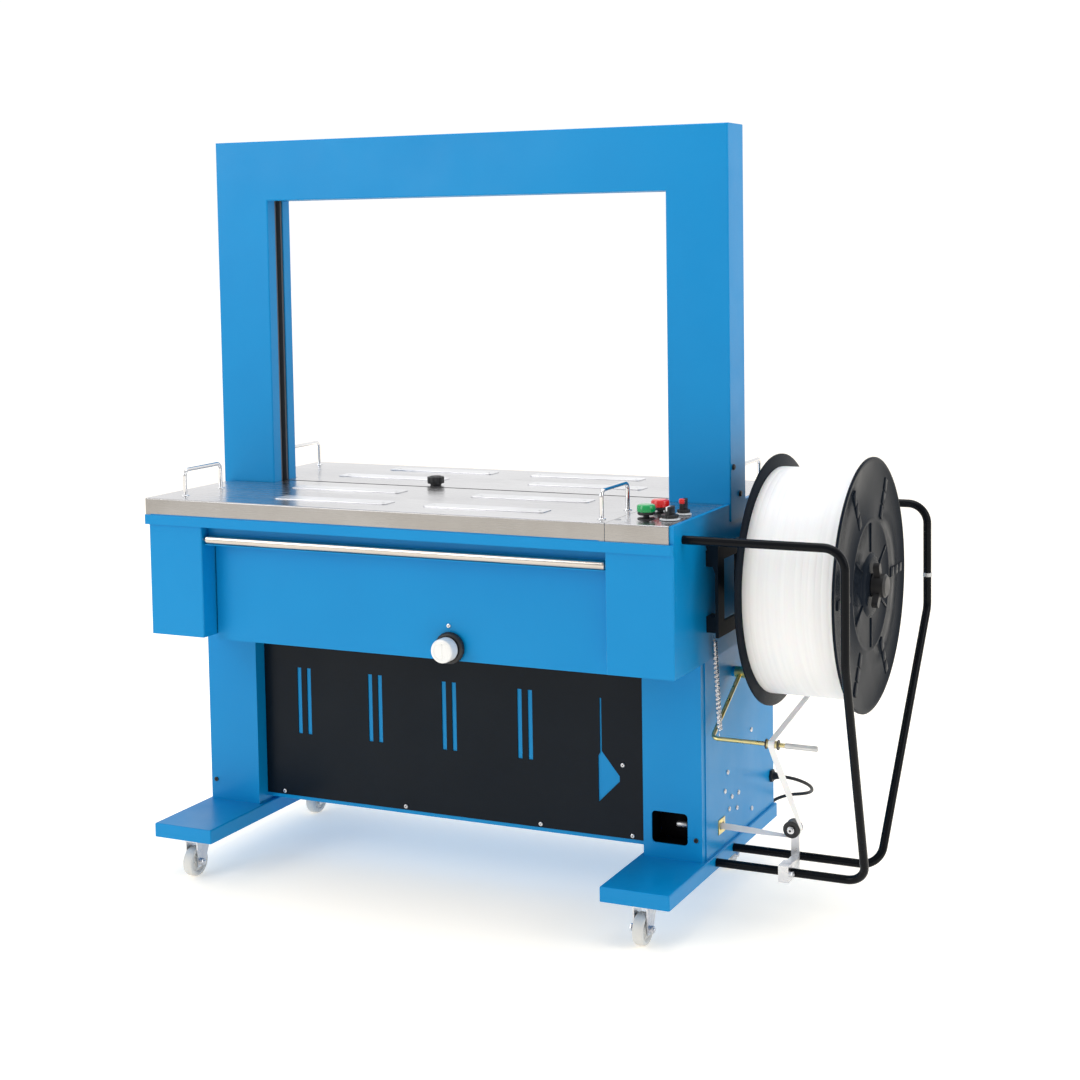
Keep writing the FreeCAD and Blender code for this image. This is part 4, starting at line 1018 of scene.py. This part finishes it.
def lock_knob():
    """The fluted knob in the middle of the table, with its smooth cap."""
    lo, centre, rim = low("table_lock_knob"), mid("table_lock_knob"), half_size("table_lock_knob").x
    height, foot = high("table_lock_knob").z - lo.z, 0.004
    thick = height - 0.006
    grip = moved(plate([fluted(rim, 10, 0.0022)], thick, 0.001), (0, 0, thick / 2 + foot))
    cap = lathe([(0, 0), (0.011, 0), (0.0125, foot), (0.0125, height - 0.002), (0.011, height - 0.0004),
                 (0, height)], 40)
    add_piece("lock_knob_fluted", merged([grip, cap]), "table_lock", "black_plastic", None,
              ("table_lock_knob",), at=(centre.x, centre.y, lo.z))


def control_details():
    push_button("start", "start_button", "start", "green_plastic")
    push_button("stop", "stop_button", "stop", "red_plastic")
    dial("tension", "tension_knob", "tension")
    dial("selector", "mode_selector", "selector", red_tip=True)
    latch()
    lock_knob()


# ------------ table and sheet metal


def wear_strips(node, body):
    """Bright low-friction strips with a countersunk screw near each end."""
    strips, screws = [], []
    corner, inset = 0.008, 0.016
    for lo, hi in solids(node):
        size, centre = hi - lo, (lo + hi) / 2
        outline = []
        for quarter, (sx, sy) in enumerate(((1, 1), (-1, 1), (-1, -1), (1, -1))):
            for k in range(7):
                angle = math.radians(90 * quarter + 15 * k)
                outline.append((sx * (size.x / 2 - corner) + corner * math.cos(angle),
                                sy * (size.y / 2 - corner) + corner * math.sin(angle)))
        shifts = [-size.x / 2 + inset, size.x / 2 - inset]
        holes = [circle(0.0038, 24, (shift, 0)) for shift in shifts]
        strips.append(moved(plate([outline, *holes], size.z, 0.0005), centre))
        for shift in shifts:
            head = lathe([(0, 0), (0.0034, 0), (0.0034, 0.0009), (0.0028, 0.0012), (0.0012, 0.0012),
                          (0.0009, 0.0006), (0, 0.0006)], 24)
            screws.append(moved(head, (centre.x + shift, centre.y, lo.z)))
    add_piece(f"{node}_plates", merged(strips), body, "polished_steel", STRIP, (node,))
    add_piece(f"{node}_screws", merged(screws), body, "machined_steel")


def handle_feet(node, body):
    """A thin washer under each post of the table's handles."""
    washers = []
    post = 0.004
    for lo, hi in solids(node):
        for y in (lo.y + post, hi.y - post):
            section = [(post, 0), (0.0082, 0), (0.0082, 0.0012), (0.0074, 0.0018), (post, 0.0018)]
            washers.append(moved(lathe(section, 36), ((lo.x + hi.x) / 2, y, lo.z)))
    add_piece(f"{node}_washers", merged(washers), body, "polished_steel")


def panel_screws():
    """Cross-head screws where the design has plain heads, and more that hold the rear panels."""
    heads = []
    for lo, hi in solids("panel_screws"):
        size, centre = hi - lo, (lo + hi) / 2
        if size.x < size.y:
            heads.append(moved(pan_screw(0.005, 0.003), (lo.x, centre.y, centre.z), "X", 0.4))
        else:
            heads.append(moved(pan_screw(), (centre.x, hi.y, centre.z), "-Y", 0.7))
    add_piece("panel_screws_cross", merged(heads), ROOT, "zinc_steel", None, ("panel_screws",))
    rear = []
    panels = (("rear_cover", 0.02, 0.15, 0.44, 7), ("cabinet_shell", 0.09, 0.14, 0.41, 9))
    for node, top, inner, outer, turn in panels:
        lo, hi = low(node), high(node)
        for x in (-outer, -inner, inner, outer):
            for z in (lo.z + 0.02, hi.z - top):
                rear.append(moved(pan_screw(), (ARCH.x + x, hi.y, z), "Y", x * turn))
    add_piece("rear_panel_screws", merged(rear), ROOT, "zinc_steel")


def small_fittings():
    """The dark plugs and screws seen on the columns, arch and front cover."""
    dark = []
    for column, side in (("left_column", -1), ("right_column", 1)):
        at = (ARCH.x + side * FOOT_SCREW_X, low(column).y, FOOT_SCREW_Z)
        dark.append(moved(socket_screw(0.0045, 0.0025), at, "-Y"))
    for at in ARCH_PLUGS:
        plug = lathe([(0, 0), (0.0055, 0), (0.0055, 0.003), (0.004, 0.0042), (0, 0.0042)], 28)
        dark.append(moved(plug, (high("arch_housing").x, at.y, at.z), "X"))
    add_piece("dark_plugs", merged(dark), ROOT, "black_plastic")
    screw_at = (mid("latch_base").x - 0.004, high("latch_base").y, COVER_SCREW_Z)
    screw = moved(pan_screw(), screw_at, "-Y", 0.3)
    add_piece("front_cover_screw", screw, "hinged_cover", "zinc_steel")
    rivet = lathe([(0, 0), (0.006, 0), (0.0055, 0.0008), (0.003, 0.0013), (0, 0.0014)], 32)
    add_piece("control_plate_rivet", rivet, ROOT, "machined_steel",
              at=(PLATE_RIVET.x, PLATE_RIVET.y, high("control_plate").z))


def motor_details():
    """Cooling ribs, a fan cowl, an end ring and a terminal box on the motor under the table."""
    at = MOTOR_END
    radius, length, cowl, ribs = 0.055, 0.18, 0.04, 30
    inner, outer = radius - 0.001, radius + 0.007
    shell = [
        (0, -0.006), (0.012, -0.006), (0.014, -0.004), (0.046, -0.004), (0.052, -0.002),
        (outer - 0.001, 0.006), (outer, 0.01), (outer, cowl), (inner, cowl),
    ]
    ring = [
        (inner, length - 0.012), (outer - 0.002, length - 0.012),
        (outer - 0.002, length - 0.001), (inner, length - 0.001),
    ]
    parts = [lathe(shell, 72), lathe(ring, 72)]
    for i in range(ribs):
        rib = block((inner, -0.001, cowl - 0.002), (outer - 0.001, 0.001, length - 0.01), 0.0006)
        parts.append(moved(rib, spin=2 * math.pi * i / ribs))
    add_piece("motor_ribs", merged(parts), ROOT, "aluminium", at=at, axis="X")
    foot, top = at + Vector((0.06, -0.032, 0.05)), at + Vector((0.135, 0.032, 0.078))
    lip, inset = 0.002, 0.008
    lid = block((foot.x - lip, foot.y - lip, top.z - 0.007), top + Vector((lip, lip, lip)), 0.002)
    box = [block(foot, top, 0.003), lid]
    for x in (foot.x + inset, top.x - inset):
        for y in (foot.y + inset, top.y - inset):
            box.append(moved(pan_screw(0.003, 0.0018), (x, y, top.z + lip), spin=x * 40))
    add_piece("motor_terminal_box", merged(box), ROOT, "aluminium")


def table_details():
    wear_strips("front_wear_strips", "front_table")
    wear_strips("rear_wear_strips", "rear_table")
    handle_feet("front_handles", "front_table")
    handle_feet("rear_handles", "rear_table")
    panel_screws()
    small_fittings()
    motor_details()


# ------------ castors


def castor_details(corner):
    """A moulded wheel with its hub, the swivel's two race rings at the kingpin, and the nuts at both
    ends of the axle.
    """
    wheel, fork = f"{corner}_wheel", f"{corner}_fork"
    centre, size = mid(wheel), half_size(wheel)
    r, w = size.z, size.x
    lower = [
        (0.0042, -w + 0.001), (0.0105, -w + 0.001), (0.0115, -w + 0.0035), (r - 0.0105, -w + 0.0045),
        (r - 0.008, -w + 0.001), (r - 0.005, -w), (r - 0.0015, -w + 0.0016), (r, -w + 0.0045),
    ]
    ribs = [lathe(mirrored(lower), 72)]
    for i in range(6):
        for z0, z1 in ((0.003 - w, 0.0048 - w), (w - 0.0048, w - 0.003)):
            spoke = block((0.011, -0.0011, z0), (r - 0.0095, 0.0011, z1), 0.0005)
            ribs.append(moved(spoke, spin=math.radians(60 * i)))
    add_piece(f"{corner}_wheel_moulded", merged(ribs), f"{corner}_roll", "castor_tread", None, (wheel,),
              at=centre, axis="X")
    pin = Vector((centre.x, centre.y + 0.020, high(fork).z))
    race = [
        (0, -0.0122), (0.0215, -0.0122), (0.0235, -0.0108), (0.0235, -0.0088), (0.0215, -0.0078),
        (0.0215, -0.0066), (0.0245, -0.0058), (0.0262, -0.0035), (0.0262, -0.0012), (0.0248, -0.0002),
        (0, -0.0002),
    ]
    add_piece(f"{corner}_race", lathe(race, 64), f"{corner}_swivel", "zinc_steel", at=pin)
    nut = moved(hex_nut(0.0068, 0.004, 0.0038), (high(fork).x - 0.006, centre.y, centre.z), "X")
    head = moved(hex_nut(0.0068, 0.0035, 0.0038), (low(fork).x + 0.004, centre.y, centre.z), "-X")
    add_piece(f"{corner}_axle_nuts", merged([nut, head]), f"{corner}_swivel", "zinc_steel")


def all_castors():
    for corner in ("front_left", "front_right", "rear_left", "rear_right"):
        castor_details(corner)


# ------------ build


finish_nodes()
set_stage()
all_cords()
dispenser_details()
control_details()
table_details()
all_castors()
